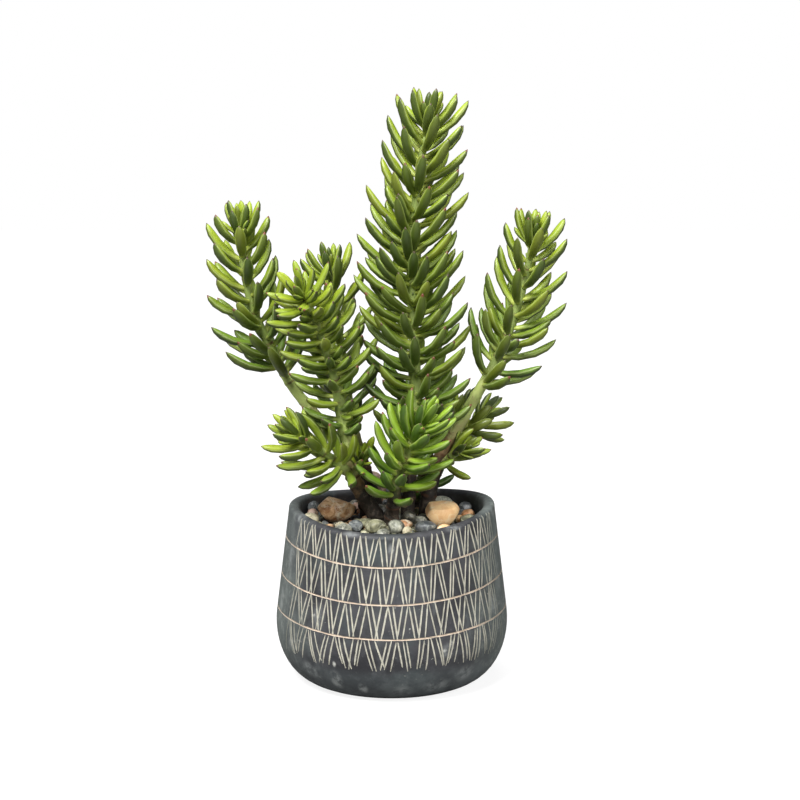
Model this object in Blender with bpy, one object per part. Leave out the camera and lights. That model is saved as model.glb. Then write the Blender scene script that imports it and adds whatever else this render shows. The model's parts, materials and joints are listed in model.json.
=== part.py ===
"""Potted finger cactus: a round stoneware pot, its soil, loose pebbles and seven leafy plants.

Metres, +Z up. The origin is the middle of the pot's foot, on the surface it stands on,
and the plant faces -Y.
"""
import bisect
import math
import random

import bmesh
import bpy
import numpy as np
from mathutils import Vector

# Pot
FOOT_RADIUS = 0.047
BELLY_BULGE = 0.0236          # how far the belly stands out past the foot
BELLY_HEIGHT = 0.034
WALL_TAPER = 0.128            # the wall leans in by this much for each metre of height
RIM_HEIGHT = 0.1046
WALL = 0.007
FLOOR = 0.009
RIM_RADIUS = 0.0626
RIM_SADDLE = 0.029            # a handmade rim: its sides rise, its front and back dip
RIM_LEAN = 0.0075             # and its right side stands a little higher than its left
POT_SIDES = 40
SOIL_SIDES = 20
FOOT_STEPS = 6
LIP_STEPS = 5
LIP_SQUARE = 0.75             # below 1 the lip's round section turns squarer
INNER_HEIGHTS = (0.0402, 0.020)

# Soil
GAP = 0.0003                  # clearance between pieces that touch
SOIL_TOP = 0.0945
SOIL_EDGE = 0.0006            # the soil's top edge draws in from the wall
ROOT_DEPTH = 0.014
HOLE_DEPTH = 0.0145
HOLE_SLACK = 0.0006
HOLE_SIDES = 8
INNER_CORNER = 0.004          # how far the floor's corner is rounded in

# Stems and leaves
STEM_SIDES = 6
STEM_TAPER = 0.8              # below 1 a stem thins faster near its root
STEM_STEP = 0.019             # spacing of the mesh rings along a leafy stretch
JOINT_GAP = 0.0140            # spacing of the ringed joints along a bare stretch
JOINT_SWELL = 1.10
JOINT_STEP = 0.0009
SPLINE_PARTS = 12
LEAF_SIDES = 3                # a flat upper face and a keel below
KEEL_TURN = 1 / 12            # the share of a turn that brings that face up
LEAF_PARTS = 12               # parts of a leaf's centre line
LEAF_STATIONS = (0, 4, 9)     # the parts that carry a ring of corners, before the tip
SHORT_STATIONS = (0, 7)       # and those of a short crown leaf, or one at the back
LEAF_FLATNESS = 0.82          # a leaf's thickness over its width
LEAF_WIDEST = 0.60            # the share of its length where a leaf is widest
LEAF_POINT = 1.6              # above 1 it keeps its width longer before the pointed tip
MIDDLE_SHARE = 0.4            # the share of the leafy stretch where leaves have the middle length
CORNER_OUT = 1.27             # the three corners reach out to about the round section's size
ROOT_SHARE = 0.38             # a leaf's width where it leaves the stem
CROWN_LENGTH = 0.008          # the last stretch of a stem, crowded with short leaves
FLAT_ANGLE = 0.5              # faces within this many degrees of flat are one face
CROWN_SHARES = (0.92, 0.60)   # crown leaves' length over the top leaves', outermost and innermost
CROWN_HEART = (14, 4)         # the angles of the innermost crown leaf where it leaves and at its tip
CROWN_WIDTH = 0.8             # a crown leaf's width over the others'
GOLDEN_TURN = 137.5
TURN_JITTER = 8.0
LIFT_JITTER = 5.0
SLIDE_JITTER = 0.0007
LENGTH_JITTER = 0.08

# Room that a leaf keeps
LEAF_ROOM = 0.0010
OWN_ROOM = 0.0002
FREE_FROM = 2                 # the first parts of a leaf are its root, inside the stem
OWN_FREE_FROM = 6
TUBE_SAMPLE = 0.003
LIP_SAMPLES = 90
BEND_SIZES = (1.0, 0.88, 0.76, 0.62)
BEND_LIFTS = (0, -14, 14, -28)
BEND_TURNS = (0, 12, -12, 24, -24)

# Colours, as linear red, green and blue
CHARCOAL = (0.050, 0.053, 0.058)
EARTH = (0.020, 0.016, 0.012)
OLIVE = (0.130, 0.220, 0.022)
BRIGHT = (0.155, 0.285, 0.022)
DEEP = (0.060, 0.150, 0.022)
STONE_COLOURS = {
    "tan": (0.56, 0.33, 0.16),
    "brown": (0.31, 0.19, 0.10),
    "orange": (0.52, 0.24, 0.10),
    "pink": (0.42, 0.27, 0.20),
    "cream": (0.46, 0.39, 0.27),
    "olive": (0.15, 0.145, 0.10),
    "grey": (0.16, 0.16, 0.15),
    "slate": (0.060, 0.065, 0.075),
    "dark": (0.035, 0.032, 0.030),
}

# Each shoot: the plant it belongs to, where it is rooted, the seed of its small irregularities,
# its route from the root up, its radius at the root and tip, where its leaves begin, the rise of
# the leaves' spiral in one turn, which of the two spirals it follows (4 or 5 leaves to a turn), the
# leaf length low, in the middle and at the top, the leaf width, the angle to the stem at which a
# leaf leaves it and the angle of its tip, low and at the top, the turn of the first leaf and the
# number of crown leaves. A plain one stands at the back, with simpler leaves. Lengths are in
# millimetres here.
SHOOTS = (
    dict(plant="stem_tall", root=(9.5, 6), colour=OLIVE, seed=11,
         route=((9.9, 6, 104), (11.7, 6, 126), (14, 6, 150), (14.6, 5, 175), (13.4, 4, 206),
                (12.1, 3, 232), (11.6, 2, 266), (15.6, 1, 298), (19.6, 0, 326), (21.2, 0, 337)),
         radius=(3.6, 1.6), leafy=68, gap=10.6, ring=5, length=(36, 43, 33), width=7.4,
         leave=(94, 66), tip=(34, 20), turn=0, crown=12),
    dict(plant="stem_left", root=(-15, 15), colour=OLIVE, seed=23,
         route=((-17, 15, 105), (-24, 15, 127), (-34, 15, 142), (-46.1, 14, 157.7), (-60.4, 12, 176.4),
                (-69.8, 10, 193.9), (-78.3, 6, 212.8), (-84.4, 3, 230), (-88, 0, 254), (-89.2, -2, 274.5)),
         radius=(3.9, 1.5), leafy=116, gap=10, ring=4, length=(39, 36, 28), width=7.6,
         leave=(76, 64), tip=(24, 14), turn=0, crown=11),
    dict(plant="stem_middle", root=(-8, -3), colour=OLIVE, seed=31,
         route=((-11, -4, 102), (-18, -7, 114), (-24, -10, 127), (-27.5, -13, 142), (-28.8, -15, 156),
                (-30.8, -18, 173), (-35, -21, 192), (-41.5, -25, 213), (-48, -31, 230), (-52, -37, 239)),
         radius=(4.6, 1.6), leafy=79, gap=10.2, ring=5, length=(26, 30, 29), width=7.2,
         leave=(84, 78), tip=(42, 44), turn=36, crown=11),
    dict(plant="stem_back", root=(-9, 27), colour=OLIVE, seed=43,
         route=((-11, 28, 102), (-17, 30, 122), (-24, 31, 146), (-28, 31, 171), (-31, 30, 196),
                (-34, 29, 220), (-37, 28, 238), (-38, 28, 246)),
         radius=(3.8, 1.6), leafy=80, gap=12, ring=4, length=(26, 31, 30), width=7.2,
         leave=(82, 62), tip=(40, 18), turn=20, crown=10, plain=True),
    dict(plant="stem_right", root=(21, 14), colour=OLIVE, seed=53,
         route=((22.2, 14, 105), (25.8, 14, 121), (31.8, 12, 138), (40.2, 10, 152), (48.5, 8, 167),
                (58, 6, 184), (65, 5, 198), (71.9, 3, 216), (77.5, 1, 236), (81.5, -1, 255), (83.4, -3, 268.5)),
         radius=(4.2, 1.5), leafy=106, gap=10.2, ring=4, length=(36, 37, 30), width=7.2,
         leave=(80, 62), tip=(28, 12), turn=10, crown=11),
    dict(plant="sprig_middle", root=(-1, -12), colour=BRIGHT, seed=61,
         route=((0.5, -14, 104), (2, -17, 117), (5, -21, 130), (9.5, -25, 143), (14.5, -28, 154),
                (18.5, -30, 163)),
         radius=(4.2, 1.7), leafy=33, gap=9.6, ring=5, length=(32, 34, 30), width=7.4,
         leave=(82, 60), tip=(46, 18), turn=18, crown=10),
    dict(plant="stem_middle", root=None, colour=OLIVE, seed=71,
         route=((-23.5, -10, 126), (-31, -18, 134), (-40, -25, 143), (-49, -29, 150), (-56, -31, 156)),
         radius=(2.8, 1.6), leafy=7, gap=10, ring=5, length=(32, 34, 29), width=7.2,
         leave=(80, 60), tip=(34, 16), turn=0, crown=9),
    dict(plant="stem_middle", root=None, colour=OLIVE, seed=113,
         route=((-23.5, -10, 126), (-20.5, -14, 132), (-18.5, -17, 138)),
         radius=(2.4, 1.5), leafy=6, gap=9, ring=4, length=(25, 26, 24), width=7.0,
         leave=(62, 48), tip=(18, 8), turn=0, crown=5),
    dict(plant="stem_right", root=None, colour=OLIVE, seed=83,
         route=((34, 11.5, 141), (40, 16, 145), (48, 22, 150), (57, 27, 155)),
         radius=(2.6, 1.5), leafy=12, gap=9, ring=5, length=(25, 27, 27), width=6.8,
         leave=(76, 62), tip=(40, 24), turn=0, crown=8),
    dict(plant="stem_right", root=None, colour=OLIVE, seed=89,
         route=((26.5, 14, 124), (32, 11, 130), (38, 8, 135), (44, 6, 139)),
         radius=(2.6, 1.5), leafy=9, gap=9, ring=4, length=(25, 26, 25), width=6.8,
         leave=(76, 60), tip=(40, 22), turn=40, crown=7),
    dict(plant="stem_right", root=None, colour=OLIVE, seed=101,
         route=((33, 12, 140), (35, 16, 150), (38, 18, 160)),
         radius=(2.2, 1.4), leafy=9, gap=8, ring=4, length=(21, 23, 22), width=6.6,
         leave=(60, 46), tip=(30, 16), turn=30, crown=6),
    dict(plant="sprig_back", root=(15, 36), colour=DEEP, seed=97,
         route=((16.3, 36, 102), (21, 39, 122), (28, 43, 142), (33, 45, 156)),
         radius=(3.4, 1.6), leafy=20, gap=13, ring=5, length=(24, 26, 23), width=7.0,
         leave=(80, 54), tip=(46, 16), turn=0, crown=8, plain=True),
)

# The pebbles that show plainly: place, half length, half depth, half height, turn in degrees, colour.
# Lengths are in millimetres.
PLACED_STONES = (
    (30.5, -11, 10.2, 8.4, 7.6, 8, "tan"),
    (-33.5, 3, 12.2, 9.4, 8.0, 16, "brown"),
    (-13, 42.5, 8.6, 7.0, 12.0, 10, "pink"),
    (17.5, 45, 7.2, 5.6, 6.6, -10, "orange"),
    (46.5, 4, 4.5, 4.2, 3.6, 20, "orange"),
    (41.2, -3.2, 2.6, 2.8, 2.8, 0, "tan"),
    (-38.5, 32, 4.4, 4.0, 3.6, -20, "pink"),
    (-48.2, 19.5, 3.6, 3.0, 4.6, 0, "slate"),
    (-48.5, 9.5, 3.4, 3.0, 3.2, 30, "pink"),
    (-17.5, -14.5, 7.2, 4.4, 3.1, 14, "olive"),
    (-21.6, -24.5, 4.6, 4.3, 3.9, -15, "slate"),
    (-30.5, -20.5, 3.2, 3.4, 2.9, 0, "cream"),
    (-9.6, -28.5, 6.2, 5.4, 4.7, -12, "olive"),
    (2.8, -29.5, 5.0, 5.0, 4.7, 0, "grey"),
    (9.2, -35.5, 2.9, 2.9, 3.3, 0, "cream"),
    (20.6, -27, 6.2, 4.6, 4.0, -6, "slate"),
    (10.4, -4, 4.4, 4.0, 4.3, 0, "dark"),
    (16.8, -15, 4.6, 3.8, 4.0, 10, "grey"),
    (31, 38.5, 6.6, 5.0, 3.8, 12, "grey"),
    (45, 21.5, 4.4, 3.8, 4.0, 0, "slate"),
    (7, 21, 3.4, 3.2, 3.4, 0, "cream"),
    (-7.2, 14, 4.3, 4.0, 4.2, 0, "dark"),
)
FREE_STONES = 25
FREE_COLOURS = ("grey", "slate", "brown", "olive", "pink", "grey", "dark", "cream", "tan", "slate")
FREE_SIZE = (3.6, 5.6)
STONE_FLAT = -0.72            # the underside is flat from this share of the half height down
STONE_WALL = 0.0553           # stones stay inside this radius
STONE_SEED = 7
STONE_ROUNDS = 400
STONE_PUSH = 0.6              # the share of an overlap that one round undoes
STONE_MARGIN = 0.006          # free stones start at least this far inside the wall
STONE_ROUGH = 0.07
STONE_REACH = 0.012           # the height over the soil that most stones take up
LOW_STEM_STEPS = 4
BIG_STONE = 7.0               # millimetres of half length above which a stone has finer faces


def lerp(start, end, share):
    return start + (end - start) * share


def material(name, colour, roughness):
    """A plain surface with a colour and a roughness"""
    made = bpy.data.materials.new(name)
    made.diffuse_color = (*colour, 1.0)
    made.use_nodes = True
    shader = made.node_tree.nodes["Principled BSDF"]
    shader.inputs["Base Color"].default_value = (*colour, 1.0)
    shader.inputs["Roughness"].default_value = roughness
    shader.inputs["Metallic"].default_value = 0.0
    return made


def add_object(name, corners, faces, surface, sharp=None):
    """A mesh object in the scene, shaded smooth"""
    mesh = bpy.data.meshes.new(name)
    mesh.from_pydata([tuple(corner) for corner in corners], [], faces)
    mesh.materials.append(surface)
    mesh.shade_smooth()
    if sharp is not None:
        mesh.set_sharp_from_angle(angle=math.radians(sharp))
    made = bpy.data.objects.new(name, mesh)
    bpy.context.scene.collection.objects.link(made)
    return made


def stacked_rings(rings, low_point, high_point):
    """Corners and faces of a closed solid: rings from bottom to top between two end points"""
    count = len(rings[0])
    corners = [corner for ring in rings for corner in ring] + [low_point, high_point]
    low = len(corners) - 2
    high = len(corners) - 1
    faces = []
    for step in range(len(rings) - 1):
        for side in range(count):
            after = (side + 1) % count
            a, b = step * count + side, step * count + after
            faces.append((a, b, b + count, a + count))
    last = (len(rings) - 1) * count
    for side in range(count):
        after = (side + 1) % count
        faces.append((after, side, low))
        faces.append((last + side, last + after, high))
    return corners, faces


def outer_radius(height):
    """The pot's outer radius at a height: a bulging foot, then a wall that leans in"""
    join = BELLY_HEIGHT * (1 + wall_join_sine())
    if height <= join:
        rise = (BELLY_HEIGHT - height) / BELLY_HEIGHT
        return FOOT_RADIUS + BELLY_BULGE * math.sqrt(max(0.0, 1 - rise * rise))
    return outer_radius(join) - WALL_TAPER * (height - join)


def wall_join_sine():
    """Sine of the angle on the bulge's ellipse where its slope meets the wall's"""
    return math.sin(math.atan(WALL_TAPER * BELLY_HEIGHT / BELLY_BULGE))


def warp(x, y, height):
    """Height on the handmade pot: the rim's saddle and lean, fading to nothing at the foot"""
    saddle = RIM_SADDLE * (y * y - x * x) / RIM_RADIUS ** 2
    return height * (1 - saddle + RIM_LEAN * x / RIM_RADIUS)


def turned_ring(radius, height, sides=POT_SIDES, warped=True):
    """One level ring of the pot or the soil"""
    ring = []
    for side in range(sides):
        angle = math.tau * side / sides
        x, y = radius * math.cos(angle), radius * math.sin(angle)
        ring.append((x, y, warp(x, y, height) if warped else height))
    return ring


def inner_profile(clearance):
    """Radius and height of the inner wall from the lip down, drawn in by a clearance"""
    lip_height = RIM_HEIGHT - WALL / 2
    heights = (lip_height,) + INNER_HEIGHTS
    profile = [(outer_radius(height) - WALL - clearance, height) for height in heights]
    corner = outer_radius(FLOOR) - WALL - INNER_CORNER
    profile.append((corner - clearance, FLOOR + clearance))
    return profile


def build_pot():
    """One turned wall with a rounded lip, closed by the foot below and the floor inside"""
    profile = [(FOOT_RADIUS, 0.0)]
    join = math.asin(wall_join_sine())
    for step in range(1, FOOT_STEPS + 1):
        angle = lerp(-math.pi / 2, join, step / FOOT_STEPS)
        height = BELLY_HEIGHT * (1 + math.sin(angle))
        profile.append((FOOT_RADIUS + BELLY_BULGE * math.cos(angle), height))
    lip_height = RIM_HEIGHT - WALL / 2
    lip_middle = outer_radius(lip_height) - WALL / 2
    for step in range(LIP_STEPS):
        angle = math.pi * step / LIP_STEPS
        out = math.copysign(abs(math.cos(angle)) ** LIP_SQUARE, math.cos(angle))
        up = math.sin(angle) ** LIP_SQUARE
        profile.append((lip_middle + WALL / 2 * out, lip_height + WALL / 2 * up))
    profile += inner_profile(0.0)
    rings = [turned_ring(radius, height) for radius, height in profile]
    corners, faces = stacked_rings(rings, (0, 0, 0), (0, 0, FLOOR))
    return add_object("pot", corners, faces, material("pot", CHARCOAL, 0.75), sharp=50)


def build_soil(roots):
    """The soil plug that fills the pot, with a plain round hole for each root"""
    profile = list(reversed(inner_profile(GAP)))[:-1]
    edge = outer_radius(SOIL_TOP) - WALL - GAP - SOIL_EDGE
    rings = [turned_ring(radius, height, SOIL_SIDES) for radius, height in profile]
    rings.append(turned_ring(edge, SOIL_TOP, SOIL_SIDES, warped=False))
    corners, faces = stacked_rings(rings, (0, 0, FLOOR + GAP), (0, 0, SOIL_TOP))
    soil = add_object("soil", corners, faces, material("soil", EARTH, 0.95), sharp=50)
    for number, (x, y, radius) in enumerate(roots):
        floor = SOIL_TOP - HOLE_DEPTH
        drill = turned_cutter(f"hole_{number}", x, y, radius + HOLE_SLACK, floor, SOIL_TOP + WALL)
        cut = soil.modifiers.new(drill.name, "BOOLEAN")
        cut.operation = "DIFFERENCE"
        cut.solver = "EXACT"
        cut.object = drill
    return soil


def turned_cutter(name, x, y, radius, low, high):
    """An upright round cutter, hidden from the render"""
    rings = []
    for height in (low, high):
        ring = []
        for side in range(HOLE_SIDES):
            angle = math.tau * (side + 0.5) / HOLE_SIDES
            ring.append((x + radius * math.cos(angle), y + radius * math.sin(angle), height))
        rings.append(ring)
    corners, faces = stacked_rings(rings, (x, y, low), (x, y, high))
    cutter = add_object(name, corners, faces, material(name, EARTH, 1.0))
    cutter.hide_render = True
    cutter.display_type = "WIRE"
    return cutter


class Route:
    """A smooth line through a few points, read by the distance along it"""

    def __init__(self, points):
        knots = [2 * points[0] - points[1]] + points + [2 * points[-1] - points[-2]]
        self.points = []
        for a, b, c, d in zip(knots, knots[1:], knots[2:], knots[3:]):
            for part in range(SPLINE_PARTS):
                t = part / SPLINE_PARTS
                even = 2 * b + (c - a) * t + (2 * a - 5 * b + 4 * c - d) * t * t
                self.points.append((even + (3 * b - a - 3 * c + d) * t ** 3) / 2)
        self.points.append(points[-1])
        self.marks = [0.0]
        for a, b in zip(self.points, self.points[1:]):
            self.marks.append(self.marks[-1] + (b - a).length)
        self.length = self.marks[-1]

    def at(self, distance):
        """The point at a distance from the root, and the line's direction there"""
        distance = min(max(distance, 0.0), self.length)
        index = min(max(bisect.bisect_right(self.marks, distance) - 1, 0), len(self.points) - 2)
        a, b = self.points[index], self.points[index + 1]
        share = (distance - self.marks[index]) / (self.marks[index + 1] - self.marks[index])
        return a.lerp(b, share), (b - a).normalized()


def facing(direction):
    """Two directions square to a stem: one towards the front, one to its side"""
    front = Vector((0, -1, 0))
    front = (front - direction * front.dot(direction)).normalized()
    return front, direction.cross(front)


def shoot_route(shoot):
    """The route of a shoot in metres: a rooted one starts straight up out of the soil"""
    points = [Vector(point) / 1000 for point in shoot["route"]]
    if shoot["root"]:
        x, y = shoot["root"][0] / 1000, shoot["root"][1] / 1000
        points = [Vector((x, y, SOIL_TOP - ROOT_DEPTH)), Vector((x, y, SOIL_TOP - GAP))] + points
    return Route(points)


def stem_radius(shoot, route, distance):
    low, high = shoot["radius"]
    return lerp(low, high, (distance / route.length) ** STEM_TAPER) / 1000


def stem_marks(shoot, route):
    """Distances and swellings of a stem's rings: stepped joints where bare, plain where leafy"""
    marks = [(0.0, 1.0)]
    distance = ROOT_DEPTH + JOINT_STEP if shoot["root"] else JOINT_GAP
    leafy = shoot["leafy"] / 1000
    while distance < leafy:
        marks += [(distance, JOINT_SWELL), (distance + JOINT_STEP, 1.0)]
        distance += JOINT_GAP
    distance = max(leafy, marks[-1][0] + JOINT_STEP)
    while distance < route.length - STEM_STEP / 2:
        marks.append((distance, 1.0))
        distance += STEM_STEP
    return marks


def build_stem(name, shoot, route, surface):
    """The round stem itself, closed at its root and drawn to a point in its crown"""
    rings = []
    for distance, swell in stem_marks(shoot, route):
        middle, direction = route.at(distance)
        front, side = facing(direction)
        radius = stem_radius(shoot, route, distance) * swell
        ring = []
        for step in range(STEM_SIDES):
            angle = math.tau * step / STEM_SIDES
            ring.append(middle + (front * math.cos(angle) + side * math.sin(angle)) * radius)
        rings.append(ring)
    corners, faces = stacked_rings(rings, route.at(0.0)[0], route.at(route.length)[0])
    return add_object(name, corners, faces, surface)


def spiral_turn(ring):
    """The turn from one leaf to the next: one or two rounds take `ring` leaves and end half a leaf on"""
    rounds = 2 if ring == 5 else 1
    return (360 * rounds + 180 / ring) / ring


def leaf_sites(shoot, route):
    """Each leaf's distance along the stem, turn, length and angles, up the spiral and then the crown"""
    draw = random.Random(shoot["seed"])
    start = shoot["leafy"] / 1000
    end = route.length - CROWN_LENGTH
    low, middle, high = (length / 1000 for length in shoot["length"])
    count = round((end - start) / (shoot["gap"] / 1000) * shoot["ring"])
    step = spiral_turn(shoot["ring"])
    for leaf in range(count):
        share = leaf / count
        length = lerp(low, middle, share / MIDDLE_SHARE)
        if share > MIDDLE_SHARE:
            length = lerp(middle, high, (share - MIDDLE_SHARE) / (1 - MIDDLE_SHARE))
        yield (lerp(start, end, share) + draw.uniform(-SLIDE_JITTER, SLIDE_JITTER),
               shoot["turn"] + step * leaf + draw.uniform(-TURN_JITTER, TURN_JITTER),
               length * (1 + draw.uniform(-LENGTH_JITTER, LENGTH_JITTER)),
               lerp(*shoot["leave"], share) + draw.uniform(-LIFT_JITTER, LIFT_JITTER),
               lerp(*shoot["tip"], share) + draw.uniform(-LIFT_JITTER, LIFT_JITTER))
    for leaf in range(shoot["crown"]):
        share = leaf / (shoot["crown"] - 1)
        yield (lerp(end, route.length - CROWN_LENGTH / 8, share),
               shoot["turn"] + step * count + GOLDEN_TURN * leaf,
               high * lerp(*CROWN_SHARES, share) * (1 + draw.uniform(-LENGTH_JITTER, LENGTH_JITTER)),
               lerp(shoot["leave"][1], CROWN_HEART[0], share),
               lerp(shoot["tip"][1], CROWN_HEART[1], share))


def leaf_line(route, distance, turn, length, leave, tip):
    """A leaf's centre line, and the direction across it"""
    base, direction = route.at(distance)
    front, side = facing(direction)
    outward = front * math.cos(math.radians(turn)) + side * math.sin(math.radians(turn))
    points = [base]
    for part in range(LEAF_PARTS):
        angle = math.radians(lerp(leave, tip, (part + 0.5) / LEAF_PARTS))
        heading = direction * math.cos(angle) + outward * math.sin(angle)
        points.append(points[-1] + heading * (length / LEAF_PARTS))
    return points, direction.cross(outward)


def leaf_fullness(share):
    """A leaf's width along its length: a narrow root, a full middle and a pointed tip"""
    if share < LEAF_WIDEST:
        return lerp(ROOT_SHARE, 1.0, math.sin(math.pi / 2 * share / LEAF_WIDEST))
    return math.cos(math.pi / 2 * ((share - LEAF_WIDEST) / (1 - LEAF_WIDEST)) ** LEAF_POINT)


def leaf_radii(width):
    return np.array([leaf_fullness(part / LEAF_PARTS) * width / 2 for part in range(LEAF_PARTS + 1)])


def build_leaf(name, points, across, width, stations, surface):
    """A fleshy finger-like leaf: a few rings along its line and a pointed tip"""
    rings = []
    for station in stations:
        after = points[station + 1]
        before = points[max(station - 1, 0)]
        upward = (after - before).normalized().cross(across)
        reach = leaf_fullness(station / LEAF_PARTS) * width / 2 * CORNER_OUT
        ring = []
        for side in range(LEAF_SIDES):
            angle = math.tau * (side / LEAF_SIDES + KEEL_TURN)
            spread = across * math.cos(angle) + upward * (LEAF_FLATNESS * math.sin(angle))
            ring.append(points[station] + spread * reach)
        rings.append(ring)
    corners, faces = stacked_rings([list(reversed(ring)) for ring in rings], points[0], points[-1])
    return add_object(name, corners, faces, surface)


class Room:
    """What is already in place, as round samples that a new leaf has to keep clear of"""

    def __init__(self):
        self.places = np.zeros((0, 3))
        self.sizes = np.zeros(0)
        self.owners = np.zeros(0, dtype=int)

    def add(self, owner, places, sizes):
        self.places = np.vstack([self.places, np.array([tuple(place) for place in places])])
        self.sizes = np.concatenate([self.sizes, sizes])
        self.owners = np.concatenate([self.owners, np.full(len(sizes), owner)])

    def is_free(self, owner, places, sizes):
        """Clear of other pieces all along, and of its own plant's pieces beyond its root"""
        line = np.array([tuple(place) for place in places])
        if np.any(line[FREE_FROM:, 2] - sizes[FREE_FROM:] < SOIL_TOP + LEAF_ROOM):
            return False
        apart = np.linalg.norm(line[:, None, :] - self.places[None, :, :], axis=2)
        apart = apart - sizes[:, None] - self.sizes[None, :]
        own = self.owners == owner
        if np.any(apart[FREE_FROM:, ~own] < LEAF_ROOM):
            return False
        return not np.any(apart[OWN_FREE_FROM:, own] < OWN_ROOM)


def place_leaf(room, owner, route, site, width):
    """The leaf's line at its site, or bent, turned or shortened until it is clear; None if never"""
    distance, turn, length, leave, tip = site
    radii = leaf_radii(width)
    for size in BEND_SIZES:
        for lift in BEND_LIFTS:
            for swing in BEND_TURNS:
                line = leaf_line(route, distance, turn + swing, length * size, leave + lift, tip + lift)
                if room.is_free(owner, line[0], radii):
                    return line
    return None


def join_pieces(body, pieces):
    """One closed solid out of a body and the pieces rooted in it"""
    group = bpy.data.collections.new(f"{body.name}_pieces")
    bpy.context.scene.collection.children.link(group)
    for piece in pieces:
        bpy.context.scene.collection.objects.unlink(piece)
        group.objects.link(piece)
    union = body.modifiers.new("joined", "BOOLEAN")
    union.operation = "UNION"
    union.operand_type = "COLLECTION"
    union.solver = "EXACT"
    union.collection = group
    bpy.context.view_layer.objects.active = body
    bpy.ops.object.modifier_apply(modifier=union.name)
    for piece in pieces:
        bpy.data.objects.remove(piece)
    bpy.data.collections.remove(group)
    keep_main_body(body.data)


def keep_main_body(mesh):
    """Leave only the largest connected skin, with its flat stretches whole"""
    shape = bmesh.new()
    shape.from_mesh(mesh)
    seen = set()
    skins = []
    for start in shape.verts:
        if start in seen:
            continue
        seen.add(start)
        skin = [start]
        for corner in skin:
            for edge in corner.link_edges:
                other = edge.other_vert(corner)
                if other not in seen:
                    seen.add(other)
                    skin.append(other)
        skins.append(skin)
    skins.sort(key=len)
    loose = [corner for skin in skins[:-1] for corner in skin]
    bmesh.ops.delete(shape, geom=loose, context="VERTS")
    bmesh.ops.dissolve_limit(shape, angle_limit=math.radians(FLAT_ANGLE), use_dissolve_boundaries=False,
                             verts=shape.verts, edges=shape.edges, delimit=set())
    bmesh.ops.triangulate(shape, faces=shape.faces)
    shape.to_mesh(mesh)
    shape.free()


def build_plants(stones):
    """Every plant: its stems, and their leaves placed clear of all the other pieces"""
    names = list(dict.fromkeys(shoot["plant"] for shoot in SHOOTS))
    routes = [shoot_route(shoot) for shoot in SHOOTS]
    room = Room()
    fill_room(room, names, routes, stones)
    plants = {name: [] for name in names}
    surfaces = {}
    for shoot, route in zip(SHOOTS, routes):
        name = shoot["plant"]
        owner = names.index(name)
        if name not in surfaces:
            surfaces[name] = material(name, shoot["colour"], 0.45)
        pieces = plants[name]
        pieces.append(build_stem(f"{name}_{len(pieces)}", shoot, route, surfaces[name]))
        sites = list(leaf_sites(shoot, route))
        for number, site in enumerate(sites, start=shoot["crown"] + 1):
            in_crown = number > len(sites)
            width = shoot["width"] / 1000 * (CROWN_WIDTH if in_crown else 1)
            line = place_leaf(room, owner, route, site, width)
            if line is None:
                continue
            room.add(owner, line[0][FREE_FROM:], leaf_radii(width)[FREE_FROM:])
            plain = in_crown or "plain" in shoot
            stations = SHORT_STATIONS if plain else LEAF_STATIONS
            pieces.append(build_leaf(f"{name}_{len(pieces)}", *line, width, stations, surfaces[name]))
    for name, pieces in plants.items():
        body = pieces[0]
        body.name = name
        join_pieces(body, pieces[1:])
        body.data.shade_smooth()
        body.data.set_sharp_from_angle(angle=math.radians(60))


def fill_room(room, names, routes, stones):
    """The stems, the pot's lip and the stones, which are all there before the leaves"""
    for shoot, route in zip(SHOOTS, routes):
        count = int(route.length / TUBE_SAMPLE) + 1
        marks = [route.length * step / count for step in range(count + 1)]
        sizes = np.array([stem_radius(shoot, route, mark) for mark in marks])
        room.add(names.index(shoot["plant"]), [route.at(mark)[0] for mark in marks], sizes)
    lip_height = RIM_HEIGHT - WALL / 2
    middle = outer_radius(lip_height) - WALL / 2
    lip = []
    for step in range(LIP_SAMPLES):
        angle = math.tau * step / LIP_SAMPLES
        x, y = middle * math.cos(angle), middle * math.sin(angle)
        lip.append((x, y, warp(x, y, lip_height)))
    room.add(-1, lip, np.full(LIP_SAMPLES, WALL / 2))
    for x, y, length, depth, height, turn, colour in stones:
        room.add(-1, [(x, y, SOIL_TOP + height)], np.array([max(length, depth, height)]))


def low_stems():
    """Level rounds that the rooted stems take up between the soil and the stones' tops"""
    rounds = []
    for shoot in SHOOTS:
        if not shoot["root"]:
            continue
        route = shoot_route(shoot)
        for step in range(LOW_STEM_STEPS + 1):
            distance = ROOT_DEPTH + STONE_REACH * step / LOW_STEM_STEPS
            middle = route.at(distance)[0]
            rounds.append((middle.x, middle.y, stem_radius(shoot, route, distance) * JOINT_SWELL + GAP))
    return rounds


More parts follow.
